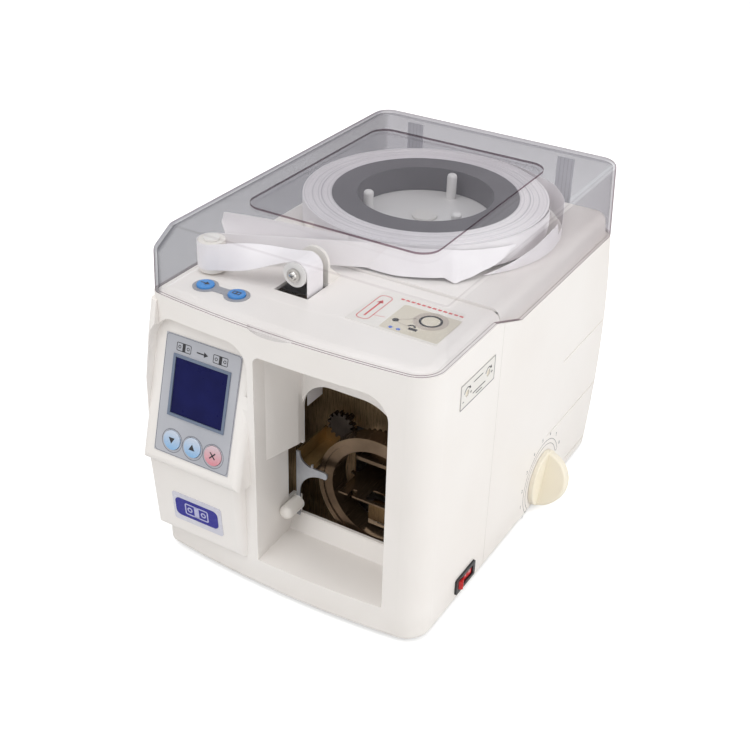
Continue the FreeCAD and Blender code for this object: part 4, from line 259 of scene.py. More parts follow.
def outer_side(finish, low, high):
    """1 where a face of the lid looks out and a tenth where it looks in, seen from either side."""
    middle = ((low.x + high.x) / 2, (low.y + high.y) / 2, low.z)
    from_middle = finish.vector("SUBTRACT", finish.place, middle)
    away = finish.vector("DOT_PRODUCT", finish.normal, from_middle)
    seen_back = finish.add("ShaderNodeNewGeometry").outputs["Backfacing"]
    away = finish.math("MULTIPLY", away, finish.spread(seen_back, 0.0, 1.0, 1.0, -1.0))
    return finish.spread(away, -1 * MM, 1 * MM, 0.1, 1.0)


def lid_tint(finish, low, high, level, outer):
    """The sheet's colour: nearly clear, smokier at the window, with painted shade at the left and
    the back.
    """
    x, y, z = (finish.axis(letter) for letter in "XYZ")
    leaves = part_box("hinge_leaves")[0].y
    # painted shade: the back and the left walls get a darker smoke than the sheet's own
    back = finish.spread(y, leaves - 8 * MM, leaves - 5 * MM)
    left = finish.spread(x, low.x + 11 * MM, low.x + 8 * MM)
    window = finish.spread(z, high.z - 1.2 * MM, high.z - 0.9 * MM)
    bent = finish.math("MULTIPLY", finish.spread(level, 0.05, 0.2),
                       finish.spread(level, 0.9, 0.98, 1.0, 0.0))
    bent = finish.math("MULTIPLY", bent, outer)
    far_sides = finish.math("MAXIMUM", finish.spread(y, high.y - 7 * MM, high.y - 5 * MM),
                            finish.spread(x, low.x + 7 * MM, low.x + 5 * MM))
    shoulder = finish.math("MULTIPLY", bent, far_sides)
    tint = finish.patches(20, 3, colour(253, 253, 253), colour(251, 251, 251))
    # the back and left smokes are painted shade; the window and shoulder smokes are the sheet's own
    # tint
    for mask, smoke_and_painted_shade in ((back, colour(220, 220, 222)), (left, colour(204, 204, 206)),
                        (window, colour(226, 226, 228)), (shoulder, colour(196, 195, 201))):
        tint = finish.mix(mask, tint, smoke_and_painted_shade)
    return tint


def lid_lines(finish, low, high, level, outer):
    """How strongly the sheet is coloured along its bends, its lip and its foot."""
    y, z = finish.axis("Y"), finish.axis("Z")
    soft = 0.2

    def band(value, start, end):
        """1 between two places in millimetres, 0 outside them."""
        return finish.math("MULTIPLY", finish.spread(value, (start - soft) * MM, start * MM),
                           finish.spread(value, end * MM, (end + soft) * MM, 1.0, 0.0))

    depth = finish.math("SUBTRACT", high.z, z)
    above_foot = finish.math("SUBTRACT", z, finish.spread(y, *RAMP_Y, *RAMP_Z))
    lip_back = low.y + 4.8 * MM
    wall = finish.math("MULTIPLY", finish.math("GREATER_THAN", y, lip_back),
                       finish.math("LESS_THAN", level, 0.5))
    foot = finish.math("MULTIPLY", band(above_foot, -2.0, 0.7), wall)
    weight = finish.add("ShaderNodeLayerWeight")
    weight.inputs["Blend"].default_value = 0.5
    facing = weight.outputs["Facing"]
    bends = finish.math("MULTIPLY", finish.spread(facing, 0.58, 0.9, 0.0, 0.95), outer)
    lip = finish.math("MULTIPLY", finish.math("LESS_THAN", y, lip_back),
                      finish.spread(facing, 0.4, 0.8, 0.03, 0.4))
    lines = finish.math("MAXIMUM", bends, lip)
    outer_rim, inner_rim = band(depth, 0.35, 1.75), band(depth, 2.9, 3.6)
    for line, strength in ((outer_rim, 0.95), (inner_rim, 0.14), (foot, 0.9)):
        lines = finish.math("MAXIMUM", lines, finish.math("MULTIPLY", line, strength))
    return lines


def smoked_acrylic():
    """Thin clear lid: painted shade darkening its left and back, smokier at the window,
    purple-brown lines where the sheet turns.
    """
    finish = Finish("smoked_acrylic", colour(205, 205, 212), 0.04, metallic=1.0)
    low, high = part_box("lid")
    level = finish.math("ABSOLUTE", finish.part(finish.normal, "Z"))
    outer = outer_side(finish, low, high)
    tint = finish.mix(lid_lines(finish, low, high, level, outer),
                      lid_tint(finish, low, high, level, outer), colour(150, 130, 138))
    finish.polish(finish.noise(60, 3), 0.03, 0.06)
    sheet = finish.add("ShaderNodeBsdfTransparent")
    finish.join(tint, sheet.inputs["Color"])
    shine = finish.add("ShaderNodeFresnel")
    shine.inputs["IOR"].default_value = 1.22
    glance = finish.math("MINIMUM", shine.outputs[0], 0.06)
    rays = finish.add("ShaderNodeLightPath").outputs
    passing = finish.math("MAXIMUM", rays["Is Shadow Ray"], rays["Is Diffuse Ray"])
    open_way = finish.add("ShaderNodeBsdfTransparent")
    open_way.inputs["Color"].default_value = (0.97, 0.97, 0.98, 1)
    seen = finish.blend(glance, sheet.outputs[0], finish.shader.outputs[0])
    choice = finish.blend(passing, seen, open_way.outputs[0])
    finish.join(choice, finish.tree.nodes["Material Output"].inputs["Surface"])
    return finish.material


def printed_film(name, base, dark, roughness=0.35):
    """Printed polyester film with a faint grain."""
    finish = Finish(name, base, roughness)
    finish.paint(finish.patches(16, 3, base, dark, CRISP))
    finish.polish(finish.noise(90, 3), roughness * 0.85, roughness * 1.25)
    finish.relief(finish.noise(3500, 2), 0.01 * MM, 0.5)
    return finish.material


def label_films():
    """The deck and side labels in cream white, and the grey pad under the two buttons."""
    finish = Finish("label_films", colour(226, 223, 214), 0.35)
    pad_edge = (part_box("deck_button_right")[1].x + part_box("turn_bracket")[0].x) / 2
    on_pad = finish.math("LESS_THAN", finish.axis("X"), pad_edge)
    cream = finish.mix(finish.noise(18, 3), colour(234, 231, 226), colour(227, 223, 217))
    grey = finish.mix(finish.noise(18, 3), colour(160, 161, 166), colour(148, 149, 155))
    finish.paint(finish.mix(on_pad, cream, grey))
    finish.polish(finish.noise(90, 3), 0.3, 0.45)
    finish.relief(finish.noise(3000, 2), 0.01 * MM, 0.5)
    return finish.material


def key_cap(name, top, foot):
    """A domed key coloured from a deeper foot to a pale top, under a clear gloss: the key's printed
    gradient with a painted highlight on its top.
    """
    finish = Finish(name, top, 0.25, coat=0.4)
    low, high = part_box("key_up")
    print_and_highlight = finish.spread(finish.axis("Z"), low.z + 1 * MM, high.z - 1 * MM)
    speck = finish.math("MULTIPLY", finish.noise(900, 2), 0.06)
    # the pale top is partly the key's printed gradient and partly a painted highlight
    finish.paint(finish.mix(finish.math("ADD", print_and_highlight, speck, True), foot, top))
    finish.polish(finish.noise(200, 3), 0.2, 0.32)
    finish.relief(finish.noise(2600, 2), 0.01 * MM, 0.4)
    return finish.material


def display_glass():
    """Unlit liquid-crystal display: deep navy with a trace of its cell grid and fine scratches."""
    finish = Finish("lcd_navy", colour(14, 18, 70), 0.3)
    finish.shader.inputs["Specular IOR Level"].default_value = 0.12
    patches = finish.patches(35, 4, colour(12, 15, 66), colour(17, 21, 78), CRISP)
    scratch = finish.spread(finish.noise(160, 2, (1, 1, 0.05)), 0.72, 0.76, 0.0, 0.25)
    finish.paint(finish.mix(scratch, patches, colour(60, 66, 130)))
    finish.polish(finish.noise(120, 3), 0.25, 0.36)
    cell = 1.2 * MM
    cells = finish.math("SINE", finish.math("MULTIPLY", finish.axis("X"), 2 * math.pi / cell))
    finish.relief(cells, 0.005 * MM, 0.2)
    return finish.material


def wound_paper():
    """Tape wound on its core: uneven rings on the flat faces and soft fibre all over."""
    finish = Finish("tape_paper", colour(240, 237, 238), 0.7)
    reach = finish.from_axis(centre("paper_roll"))
    wander = finish.math("MULTIPLY", finish.noise(25, 2), 0.8 * MM)
    turns = finish.add("ShaderNodeCombineXYZ")
    finish.join(finish.math("ADD", reach, wander), turns.inputs[0])
    rings = finish.noise(420, 3, place=turns.outputs[0])
    level = finish.math("ABSOLUTE", finish.part(finish.normal, "Z"))
    shown = finish.math("MULTIPLY", finish.spread(rings, 0.5, 0.64),
                        finish.spread(level, 0.7, 0.9))
    tone = finish.patches(25, 3, colour(243, 240, 241), colour(236, 232, 234))
    finish.paint(finish.mix(finish.math("MULTIPLY", shown, 0.7), tone, colour(158, 156, 163)))
    finish.relief(rings, 0.15 * MM, 0.5)
    finish.relief(finish.noise(1400, 3), 0.03 * MM, 0.5)
    return finish.material


def plain_paper():
    """Loose tape: white paper with soft fibre."""
    finish = Finish("tape_white", colour(243, 240, 241), 0.6)
    finish.paint(finish.patches(30, 4, colour(244, 241, 242), colour(236, 232, 234)))
    finish.relief(finish.noise(1300, 3), 0.03 * MM, 0.5)
    finish.relief(finish.noise(40, 2), 0.3 * MM, 0.2)
    return finish.material


def two_tones(name, mask, first, second, grain=(1, 0.03, 1)):
    """One sheet or shaft whose finish changes where a mask does.

    Each of the two is a colour, a darker colour, a roughness and how metallic it is.
    """
    finish = Finish(name, first[0], first[2])
    shown = mask(finish)
    tones = (finish.patches(35, 3, *tone[:2]) for tone in (first, second))
    finish.paint(finish.mix(shown, *tones))
    lines = finish.noise(2200, 3, grain, 0.6)
    sway = 0.06
    gloss = finish.math("ADD", finish.math("MULTIPLY", lines, 2 * sway),
                        finish.spread(shown, 0.0, 1.0, first[2] - sway, second[2] - sway))
    finish.join(gloss, finish.shader.inputs["Roughness"])
    metallic = finish.spread(shown, 0.0, 1.0, first[3], second[3])
    finish.join(metallic, finish.shader.inputs["Metallic"])
    finish.relief(lines, 0.02 * MM, 0.3)
    return finish


def guide_steel():
    """The note guide: a satin grey front plate on a streaky bronze trough."""
    plate_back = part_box("note_guide")[0].y + 1.6 * MM

    def behind_plate(finish):
        return finish.math("GREATER_THAN", finish.axis("Y"), plate_back)
    finish = two_tones("guide_steel", behind_plate,
                       (colour(192, 195, 200), colour(150, 152, 158), 0.3, 0.7),
                       (colour(196, 166, 116), colour(128, 104, 66), 0.24, 0.55))
    finish.relief(finish.noise(120, 2, (1, 0.02, 1)), 0.2 * MM, 0.7)
    return finish.material


def axle_finish():
    """Bright steel axles, and white covers over the reel's hub and the guide roller's axle."""
    reaches = {"roll_core": 26 * MM, "guide_roller": 9 * MM}
    spots = [(centre(node), reach) for node, reach in reaches.items()]

    def covers(finish):
        return finish.math("MAXIMUM", *(finish.near(*spot) for spot in spots))
    finish = two_tones("axle_steel", covers,
                       (colour(214, 212, 208), colour(190, 188, 184), 0.2, 1.0),
                       (colour(238, 236, 232), colour(230, 227, 222), 0.36, 0.0), (1, 1, 0.03))
    return finish.material


def leaf_finish():
    """Satin hinge leaves with pressed lines down each edge."""
    finish = Finish("leaf_steel", colour(186, 187, 193), 0.45, metallic=0.2)
    pitch = 3.4 * MM
    stripes = finish.math("SINE", finish.math("MULTIPLY", finish.axis("X"), 2 * math.pi / pitch))
    lines = finish.spread(stripes, 0.75, 0.95)
    tone = finish.mix(finish.noise(30, 3), colour(194, 195, 201), colour(182, 183, 189))
    finish.paint(finish.mix(finish.math("MULTIPLY", lines, 0.5), tone, colour(140, 138, 144)))
    finish.polish(finish.noise(400, 2, (1, 1, 0.05)), 0.4, 0.5)
    finish.relief(lines, 0.1 * MM, 0.4)
    return finish.material


def circuit_board():
    """Green lacquer over copper tracks."""
    finish = Finish("circuit_green", colour(20, 92, 52), 0.35, coat=0.3)
    tracks = finish.add("ShaderNodeTexBrick")
    tracks.inputs["Scale"].default_value = 190
    tracks.inputs["Mortar Size"].default_value = 0.012
    finish.join(finish.place, tracks.inputs["Vector"])
    finish.paint(finish.mix(tracks.outputs["Fac"], colour(17, 84, 46), colour(60, 128, 70)))
    finish.relief(tracks.outputs["Fac"], 0.04 * MM, 0.5)
    finish.polish(finish.noise(80, 3), 0.28, 0.45)
    return finish.material


def ink(name, tint):
    """Printing ink with a slightly uneven cover."""
    tint = colour(*tint)
    finish = Finish(name, tint, 0.5)
    pale = tuple(min(1.0, value * 1.25 + 0.01) for value in tint[:3]) + (1.0,)
    finish.paint(finish.patches(700, 3, tint, pale, (0.55, 0.75)))
    finish.polish(finish.noise(500, 2), 0.4, 0.6)
    return finish.material


COARSE = 0.04 * MM
PLASTICS = {  # the material's name, its light and its dark tone, its roughness and its grain
    "cream": ("cream_plastic", (246, 239, 222), (239, 230, 209), 0.28),
    "fitting": ("fitting_plastic", (240, 236, 230), (232, 227, 220), 0.32),
    "white": ("white_plastic", (238, 237, 235), (228, 226, 223), 0.36),
    "core": ("core_grey", (114, 112, 116), (99, 97, 101), 0.42, COARSE),
    "bezel": ("bezel_grey", (116, 128, 148), (98, 110, 130), 0.35),
    "deck_blue": ("button_blue", (52, 148, 222), (40, 130, 206), 0.3),
    "black": ("switch_black", (34, 34, 36), (26, 26, 28), 0.4, COARSE),
    "red": ("rocker_red", (222, 34, 34), (196, 24, 28), 0.3),
    "acetal": ("black_acetal", (22, 19, 18), (14, 13, 13), 0.34, 0.03 * MM),
    "motor": ("motor_can", (58, 58, 62), (44, 44, 48), 0.4, COARSE),
}
METALS = {  # name, tones and roughness, then the brushing's way, metallic and streaks
    "zinc": ("zinc_steel", (188, 186, 178), (160, 158, 150), 0.3),
    "bronzed": ("bronzed_steel", (196, 166, 128), (122, 100, 72), 0.28, (1, 1, 0.03), 0.45,
                0.12 * MM),
    "smoked": ("smoked_steel", (124, 104, 84), (84, 68, 52), 0.22, (1, 0.03, 1), 0.8),
    "bright": ("bright_steel", (214, 212, 208), (190, 188, 184), 0.16),
    "brass": ("brass", (120, 98, 70), (78, 60, 40), 0.3),
    "iron": ("iron_core", (84, 76, 70), (58, 52, 48), 0.5),
}
INKS = {
    "ink_black": (34, 34, 38),
    "ink_grey": (128, 126, 128),
    "ink_line": (104, 106, 116),
    "ink_red": (206, 92, 96),
    "ink_blue": (27, 25, 138),
    "ink_sky": (84, 116, 200),
    "ink_pale": (182, 182, 216),
    "ink_sand": (208, 201, 186),
    "ink_stone": (182, 172, 162),
    "ink_white": (236, 234, 230),
}


def all_finishes():
    """Every finish by the name that the pieces call it by."""
    return {
        **{name: moulded(*row) for name, row in PLASTICS.items()},
        **{name: brushed(*row) for name, row in METALS.items()},
        **{name: ink(name, tint) for name, tint in INKS.items()},
        "ivory": ivory_shell(),
        "lid": smoked_acrylic(),
        "overlay": printed_film("overlay_grey", colour(182, 183, 189), colour(171, 173, 180)),
        "labels": label_films(),
        "lcd": display_glass(),
        # the first colour of each key, its pale top, carries a painted highlight
        "key_blue": key_cap("key_blue", colour(194, 205, 221), colour(112, 172, 220)),
        "key_pink": key_cap("key_pink", colour(210, 186, 192), colour(216, 118, 132)),
        "plate": printed_film("badge_silver", colour(214, 213, 222), colour(198, 198, 212), 0.28),
        "guide": guide_steel(),
        "axle": axle_finish(),
        "leaf": leaf_finish(),
        "rubber": rubbery("rubber_black", colour(30, 30, 31), colour(52, 50, 50)),
        "paper": wound_paper(),
        "tape": plain_paper(),
        "board": circuit_board(),
    }


FINISHES = all_finishes()

NODE_FINISH = {
    "ivory": ["front_housing", "rear_housing"],
    "lid": ["lid"],
    "cream": ["dial_knob", "trim_screw_front", "trim_screw_back"],
    "fitting": ["guide_roller", "turn_bracket", "tape_guide_post", "note_stop_peg"],
    "white": ["reel_posts", "reel_seat", "turn_roller"],
    "core": ["roll_core"],
    "overlay": ["display_overlay"],
    "labels": ["labels"],
    "bezel": ["lcd_bezel"],
    "lcd": ["lcd_display"],
    "key_blue": ["key_down", "key_up"],
    "key_pink": ["key_clear"],
    "deck_blue": ["deck_button_left", "deck_button_right"],
    "plate": ["badge_plate"],
    "black": ["switch_bezel", "dial_pot", "trim_pots", "power_inlet"],
    "red": ["power_rocker"],
    "leaf": ["hinge_leaves"],
    "zinc": ["base_plate", "base_screws", "press_bracket"],
    "bronzed": ["front_frame", "rear_frame"],
    "smoked": ["note_table", "press_plate", "ring_track", "ring_rotor"],
    "bright": ["hinge_pins", "dial_shaft", "tie_rods", "press_pinion", "cutter_blade",
               "sealer_arm"],
    "axle": ["roller_axles"],
    "guide": ["note_guide"],
    "brass": ["heater_head"],
    "iron": ["transformer", "ring_pinion", "feed_pinion"],
    "acetal": ["feed_roller"],
    "motor": ["gear_motors", "solenoid"],
    "rubber": ["rubber_feet", "pinch_roller"],
    "paper": ["paper_roll"],
    "tape": ["tape_strip"],
    "board": ["circuit_boards"],
}


def dress_nodes():
    """Gives every node its finish."""
    for finish, names in NODE_FINISH.items():
        for name in names:
            for slot in NODES[name].material_slots:
                slot.material = FINISHES[finish]


# -------- making pieces
def piece(name, bm, body, finish, smooth_angle=None):
    """Turns a bmesh into a finished piece that rides on a body."""
    mesh = bpy.data.meshes.new(name)
    bm.to_mesh(mesh)
    bm.free()
    thing = new_object(name, mesh)
    mesh.materials.append(FINISHES[finish])
    if smooth_angle:
        mesh.shade_smooth()
        mesh.set_sharp_from_angle(angle=math.radians(smooth_angle))
    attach(thing, body)
    return thing


def flat_face(node, facing, upward, within=None):
    """The flat side of a node that faces one way: its middle, its axes and its size.

    within keeps only the points that belong to one of a node's solids.
    """
    mesh = NODES[node].data
    faces = [face for face in mesh.polygons
             if face.normal.dot(facing) > ALIGNED and (within is None or within(face.center))]
    normal = sum((face.normal * face.area for face in faces), Vector()).normalized()
    top = (upward - normal * upward.dot(normal)).normalized()
    side = top.cross(normal)
    points = [mesh.vertices[index].co for face in faces for index in face.vertices]
    spans = [(min(p.dot(axis) for p in points), max(p.dot(axis) for p in points))
             for axis in (side, top)]
    reach = max(p.dot(normal) for p in points)
    middle = side * sum(spans[0]) / 2 + top * sum(spans[1]) / 2 + normal * reach
    width, height = ((end - start) / MM for start, end in spans)
    return axes_at(side, top, normal, middle), width, height


class Print:
    """Flat marks on one face, drawn in millimetres from its middle."""

    def __init__(self, place):
        self.place = place
        self.bm = bmesh.new()

    def move(self, verts, x, y, turn=0.0, size=(1, 1)):
        spin = Matrix.Rotation(math.radians(turn), 4, "Z")
        matrix = Matrix.Translation((x, y, 0)) @ spin @ Matrix.Diagonal((*size, 1, 1))
        bmesh.ops.transform(self.bm, matrix=matrix, verts=verts)

    def bar(self, x, y, width, height, turn=0.0):
        made = bmesh.ops.create_grid(self.bm, x_segments=1, y_segments=1, size=0.5)
        self.move(made["verts"], x, y, turn, (width, height))

    def disc(self, x, y, radius, sides, turn=0.0):
        made = bmesh.ops.create_circle(self.bm, cap_ends=True, radius=radius, segments=sides)
        self.move(made["verts"], x, y, turn)

    def triangle(self, x, y, radius, turn=0.0):
        """A triangle that points along +Y before it is turned."""
        self.disc(x, y, radius, 3, turn)

    def arc(self, x, y, inner, outer, start, end, steps=None):
        """A band between two radii, from one angle to another, anticlockwise from +X.

        Without a number of steps it takes one every six degrees or so.
        """
        ends = [self.bm.verts.new((radius, 0, 0)) for radius in (inner, outer)]
        edge = self.bm.edges.new(ends)
        turn = Matrix.Rotation(math.radians(start), 4, "Z")
        bmesh.ops.transform(self.bm, matrix=turn, verts=ends)
        steps = steps or max(4, int(abs(end - start) / 6))
        made = bmesh.ops.spin(self.bm, geom=[*ends, edge], axis=(0, 0, 1), cent=(0, 0, 0),
                              steps=steps, angle=math.radians(end - start),
                              use_merge=abs(end - start) >= 360)
        last = {part for part in made["geom_last"] if isinstance(part, bmesh.types.BMVert)}
        self.move(self.linked(set(ends) | last), x, y)

    def linked(self, start):
        """Every point joined to the given ones."""
        reached, front = set(start), list(start)
        while front:
            for edge in front.pop().link_edges:
                for vert in edge.verts:
                    if vert not in reached:
                        reached.add(vert)
                        front.append(vert)
        return list(reached)

    def rounded(self, x, y, width, height, corner):
        """A filled rectangle with rounded corners; returns its points."""
        made = bmesh.ops.create_grid(self.bm, x_segments=1, y_segments=1, size=0.5)
        bmesh.ops.scale(self.bm, vec=(width, height, 1), verts=made["verts"])
        done = bmesh.ops.bevel(self.bm, geom=made["verts"], offset=corner, affect="VERTICES",
                               segments=8, profile=0.5, material=-1, offset_type="OFFSET")
        points = self.linked(done["verts"])
        self.move(points, x, y)
        return points

    def outline(self, x, y, width, height, corner, line):
        """The edge of a rounded rectangle, as a line of even width."""
        points = set(self.rounded(x, y, width, height, corner))
        whole = [face for face in self.bm.faces if set(face.verts) <= points]
        bmesh.ops.inset_region(self.bm, faces=whole, thickness=line, use_even_offset=True,
                               use_boundary=True)
        bmesh.ops.delete(self.bm, geom=whole, context="FACES")

    def arrow(self, x, y, length, line, turn=0.0, head=None):
        """A line with a head at its far end, along +X before it is turned."""
        head = head or line * 2.6
        way = Vector((math.cos(math.radians(turn)), math.sin(math.radians(turn))))
        shaft = length - head
        self.bar(x + way.x * shaft / 2, y + way.y * shaft / 2, shaft, line, turn)
        self.triangle(x + way.x * shaft, y + way.y * shaft, head, turn - 90)

    def words(self, text, x, y, height):
        """Plain figures, centred on a point."""
        line = bpy.data.curves.new("figures", "FONT")
        line.body = text
        line.size = height
        line.align_x = "CENTER"
        line.align_y = "CENTER"
        line.resolution_u = 4
        thing = bpy.data.objects.new("figures", line)
        mesh = bpy.data.meshes.new_from_object(thing)
        mesh.transform(Matrix.Translation((x, y, 0)))
        self.bm.from_mesh(mesh)
        bpy.data.objects.remove(thing)
        bpy.data.curves.remove(line)
        bpy.data.meshes.remove(mesh)

    def done(self, name, body, finish, slot, thickness=INK):
        """Gives the marks their thickness and lays them on the face."""
        bm = self.bm
        bmesh.ops.dissolve_degenerate(bm, dist=0.001, edges=bm.edges)
        bmesh.ops.recalc_face_normals(bm, faces=bm.faces)
        turned = [face for face in bm.faces if face.normal.z < 0]
        bmesh.ops.reverse_faces(bm, faces=turned)
        grown = bmesh.ops.extrude_face_region(bm, geom=bm.faces[:])
        top = [part for part in grown["geom"] if isinstance(part, bmesh.types.BMVert)]
        bmesh.ops.translate(bm, vec=(0, 0, thickness / MM), verts=top)
        bmesh.ops.recalc_face_normals(bm, faces=bm.faces)
        bmesh.ops.transform(bm, matrix=self.place @ Matrix.Scale(MM, 4), verts=bm.verts)
        piece(name, bm, body, finish)


# -------- display and badge
def bundle_sign(marks, x, y, size, line):
    """A plain picture of a bundle of notes with a band round it."""
    height, coin = size * 0.5, size * 0.06
    marks.outline(x, y, size, height, size * 0.08, line)
    marks.bar(x, y, size * 0.2, height)
    for side in (-1, 1):
        marks.arc(x + side * size * 0.29, y, coin, coin + line, 0, 360, 20)


def spot_on(place, node):
    """Where the middle of a node's box lies on a face, in millimetres."""
    spot = place.inverted() @ centre(node)
    return spot.x / MM, spot.y / MM


def display_prints():
    """The overlay's border, a ring round each key and a row of signs along its top."""
    place, width, height = flat_face("display_overlay", DISPLAY_OUT, UP)
    edge = Print(place)
    edge.outline(0, 0, width - 0.6, height - 0.6, 3.0, 0.35)
    for key in ("key_down", "key_up", "key_clear"):
        low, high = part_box(key)
        gap, line = 0.2, 0.4
        reach = (high.x - low.x) / 2 / MM + gap
        edge.arc(*spot_on(place, key), reach, reach + line, 0, 360, 48)
    edge.done("overlay_lines", "root", "ink_line", "overlay_grey")
    signs = Print(place)
    sign_row = height / 2 - 8.2
    bundle_sign(signs, -17, sign_row, 13, 0.5)
    signs.arrow(-5.5, sign_row, 10, 0.9)
    bundle_sign(signs, 15.5, sign_row, 13, 0.5)
    signs.done("overlay_signs", "root", "ink_black", "overlay_grey")


def key_prints():
    """Two triangles and a cross."""
    for key, turn, lift in (("key_down", 180, 0.4), ("key_up", 0, -0.4)):
        place, _, _ = flat_face(key, DISPLAY_OUT, UP)
        mark = Print(place)
        mark.triangle(0, lift, 3.1, turn)
        mark.done(f"{key}_mark", key, "ink_black", "key_blue")
    place, _, _ = flat_face("key_clear", DISPLAY_OUT, UP)
    mark = Print(place)
    for turn in (45, 135):
        mark.bar(0, 0, 6.6, 1.0, turn)
    mark.done("key_clear_mark", "key_clear", "ink_black", "key_pink")


def badge_prints():
    """A raised blue field with the sign of a bundle."""
    place, width, height = flat_face("badge_plate", FRONT, UP)
    x, y, thickness = -0.5, 0.5, 0.25 * MM
    field = Print(place)
    field.rounded(x, y, width - 6, height - 10, 4.5)
    field.done("badge_field", "root", "ink_blue", "badge_blue", thickness)
    sign = Print(place @ Matrix.Translation((0, 0, thickness)))
    bundle_sign(sign, x, y, 22, 1.1)
    sign.done("badge_sign", "root", "ink_pale", "badge_blue")


# -------- deck
def deck_button_prints():
    """An arrow on the left button and a plain parcel on the right one."""
    for side in ("left", "right"):
        place, _, _ = flat_face(f"deck_button_{side}", UP, BACK)
        mark = Print(place)
        if side == "left":
            mark.arrow(-4.0, 0, 8.0, 1.0)
        else:
            mark.outline(0, 0, 6.5, 4.2, 0.6, 0.8)
            mark.bar(0, 0, 1.4, 4.2)
        mark.done(f"button_{side}_mark", f"button_{side}", "ink_black", "key_blue")


def deck_label_prints():
    """A plain threading guide: roll, rollers, slot, buttons and the way the tape runs."""
    def on_deck(point):
        return point.x > 0 and point.z > 220 * MM
    place, _, _ = flat_face("labels", UP, BACK, on_deck)
    field = Print(place)
    field.rounded(12.5, -4.5, 45.0, 37.0, 1.0)
    field.done("threading_field", "root", "ink_sand", "overlay_grey", THIN_INK)
    above = place @ Matrix.Translation((0, 0, THIN_INK))
    roll_x, roll_y = 17, 2
    paper = Print(above)
    paper.arc(roll_x, roll_y, 8.5, 12.5, 0, 360, 48)
    paper.done("threading_roll", "root", "ink_stone", "overlay_grey")
    dark = Print(above)
    dark.arc(roll_x, roll_y, 6.6, 8.4, 0, 360, 48)
    dark.disc(-4.5, -9.0, 2.4, 28)
    dark.bar(12, -14.5, 6.5, 3.0)
    dark.arc(9.5, -12.0, 1.6, 3.0, 0, 180)
    dark.done("threading_parts", "root", "ink_black", "overlay_grey")
    path = Print(above)
    path.bar(1.5, -3.8, 13.5, 0.7, 38)
    path.bar(2.5, -11.6, 12.0, 0.7, -12)
    path.done("threading_path", "root", "ink_stone", "overlay_grey")
    spots = Print(above)
    for x in (-2.5, 3.5):
        spots.disc(x, -19.5, 1.5, 24)
    spots.done("threading_buttons", "root", "ink_sky", "overlay_grey")
    red = Print(place)
    arrow_x, dashes, dash_pitch = -26, 12, 4.2
    red.outline(arrow_x, -1, 10.5, 38, 4.0, 0.6)
    red.arrow(arrow_x, -15, 26, 1.3, 90, 3.0)
    red.bar(-17, -10.5, 9.0, 0.35, 8)
    for index in range(dashes):
        red.bar(-15 + index * dash_pitch, 19.8, 2.9, 1.9, -6)
    red.done("deck_label_rules", "root", "ink_red", "overlay_grey")


# -------- right side
def side_label_prints():
    """The side label's border, a plus, a minus and an arrow round each trimmer, and plain lines."""
    def on_side(point):
        return point.z < 210 * MM
    place, width, height = flat_face("labels", RIGHT, UP, on_side)
    marks = Print(place)
    marks.outline(0, 0, width, height, 0.6, 0.7)
    marks.done("side_label_edge", "root", "ink_grey", "overlay_grey")
    signs = Print(place)
    for screw in ("trim_screw_front", "trim_screw_back"):
        x, y = spot_on(place, screw)
        signs.arc(x, y, 4.4, 5.1, 50, 165)
        signs.triangle(x + 3.6, y + 3.2, 1.6, -130)
        signs.bar(x - 5.6, y - 4.6, 2.2, 0.5)
        signs.bar(x + 5.4, y - 1.4, 2.2, 0.5)
        signs.bar(x + 5.4, y - 1.4, 0.5, 2.2)
    for x, y, length in ((0, 4.4, 14), (2, -4.4, 19), (2, -6.9, 9)):
        signs.bar(x, y, length, 0.7)
    signs.done("side_label_signs", "root", "ink_black", "overlay_grey")


def dial_scale():
    """Two arcs with rounded ends and plain figures round the dial."""
    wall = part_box("rear_housing")[1].x
    place = axes_at(BACK, UP, RIGHT, Vector((wall, *centre("dial_pot").yz)))
    marks = Print(place)
    first, last, inner, outer, line = 22, 217, 29.6, 33.6, 0.5
    for radius in (inner, outer):
        marks.arc(0, 0, radius, radius + line, first, last, 60)
    middle = (inner + outer + line) / 2
    end = (outer - inner + line) / 2
    for angle, turn in ((first, 180), (last, 0)):
        spot = math.radians(angle)
        marks.arc(middle * math.cos(spot), middle * math.sin(spot), end - line, end,
                  angle + turn, angle + turn + 180, 10)
    marks.done("dial_scale", "root", "ink_grey", "ivory_plastic")
    figures = Print(place)
    count, reach = 9, 38.6
    for number in range(count):
        angle = math.radians(last + (first - last) * number / (count - 1))
        figures.words(str(number), reach * math.cos(angle), reach * math.sin(angle), 4.6)
    figures.done("dial_figures", "root", "ink_line", "ivory_plastic")


def rocker_prints():
    """A bar and a ring on the rocker, square to it as it leans at rest."""
    outward = (RIGHT * 0.97 - BACK * 0.17).normalized()
    place, width, _ = flat_face("power_rocker", outward, UP)
    marks = Print(place)
    marks.bar(-width / 4, 0, 0.4, 2.2)
    marks.arc(width / 4, 0, 0.8, 1.15, 0, 360, 28)
    marks.done("rocker_marks", "rocker", "ink_white", "rocker_red", THIN_INK)


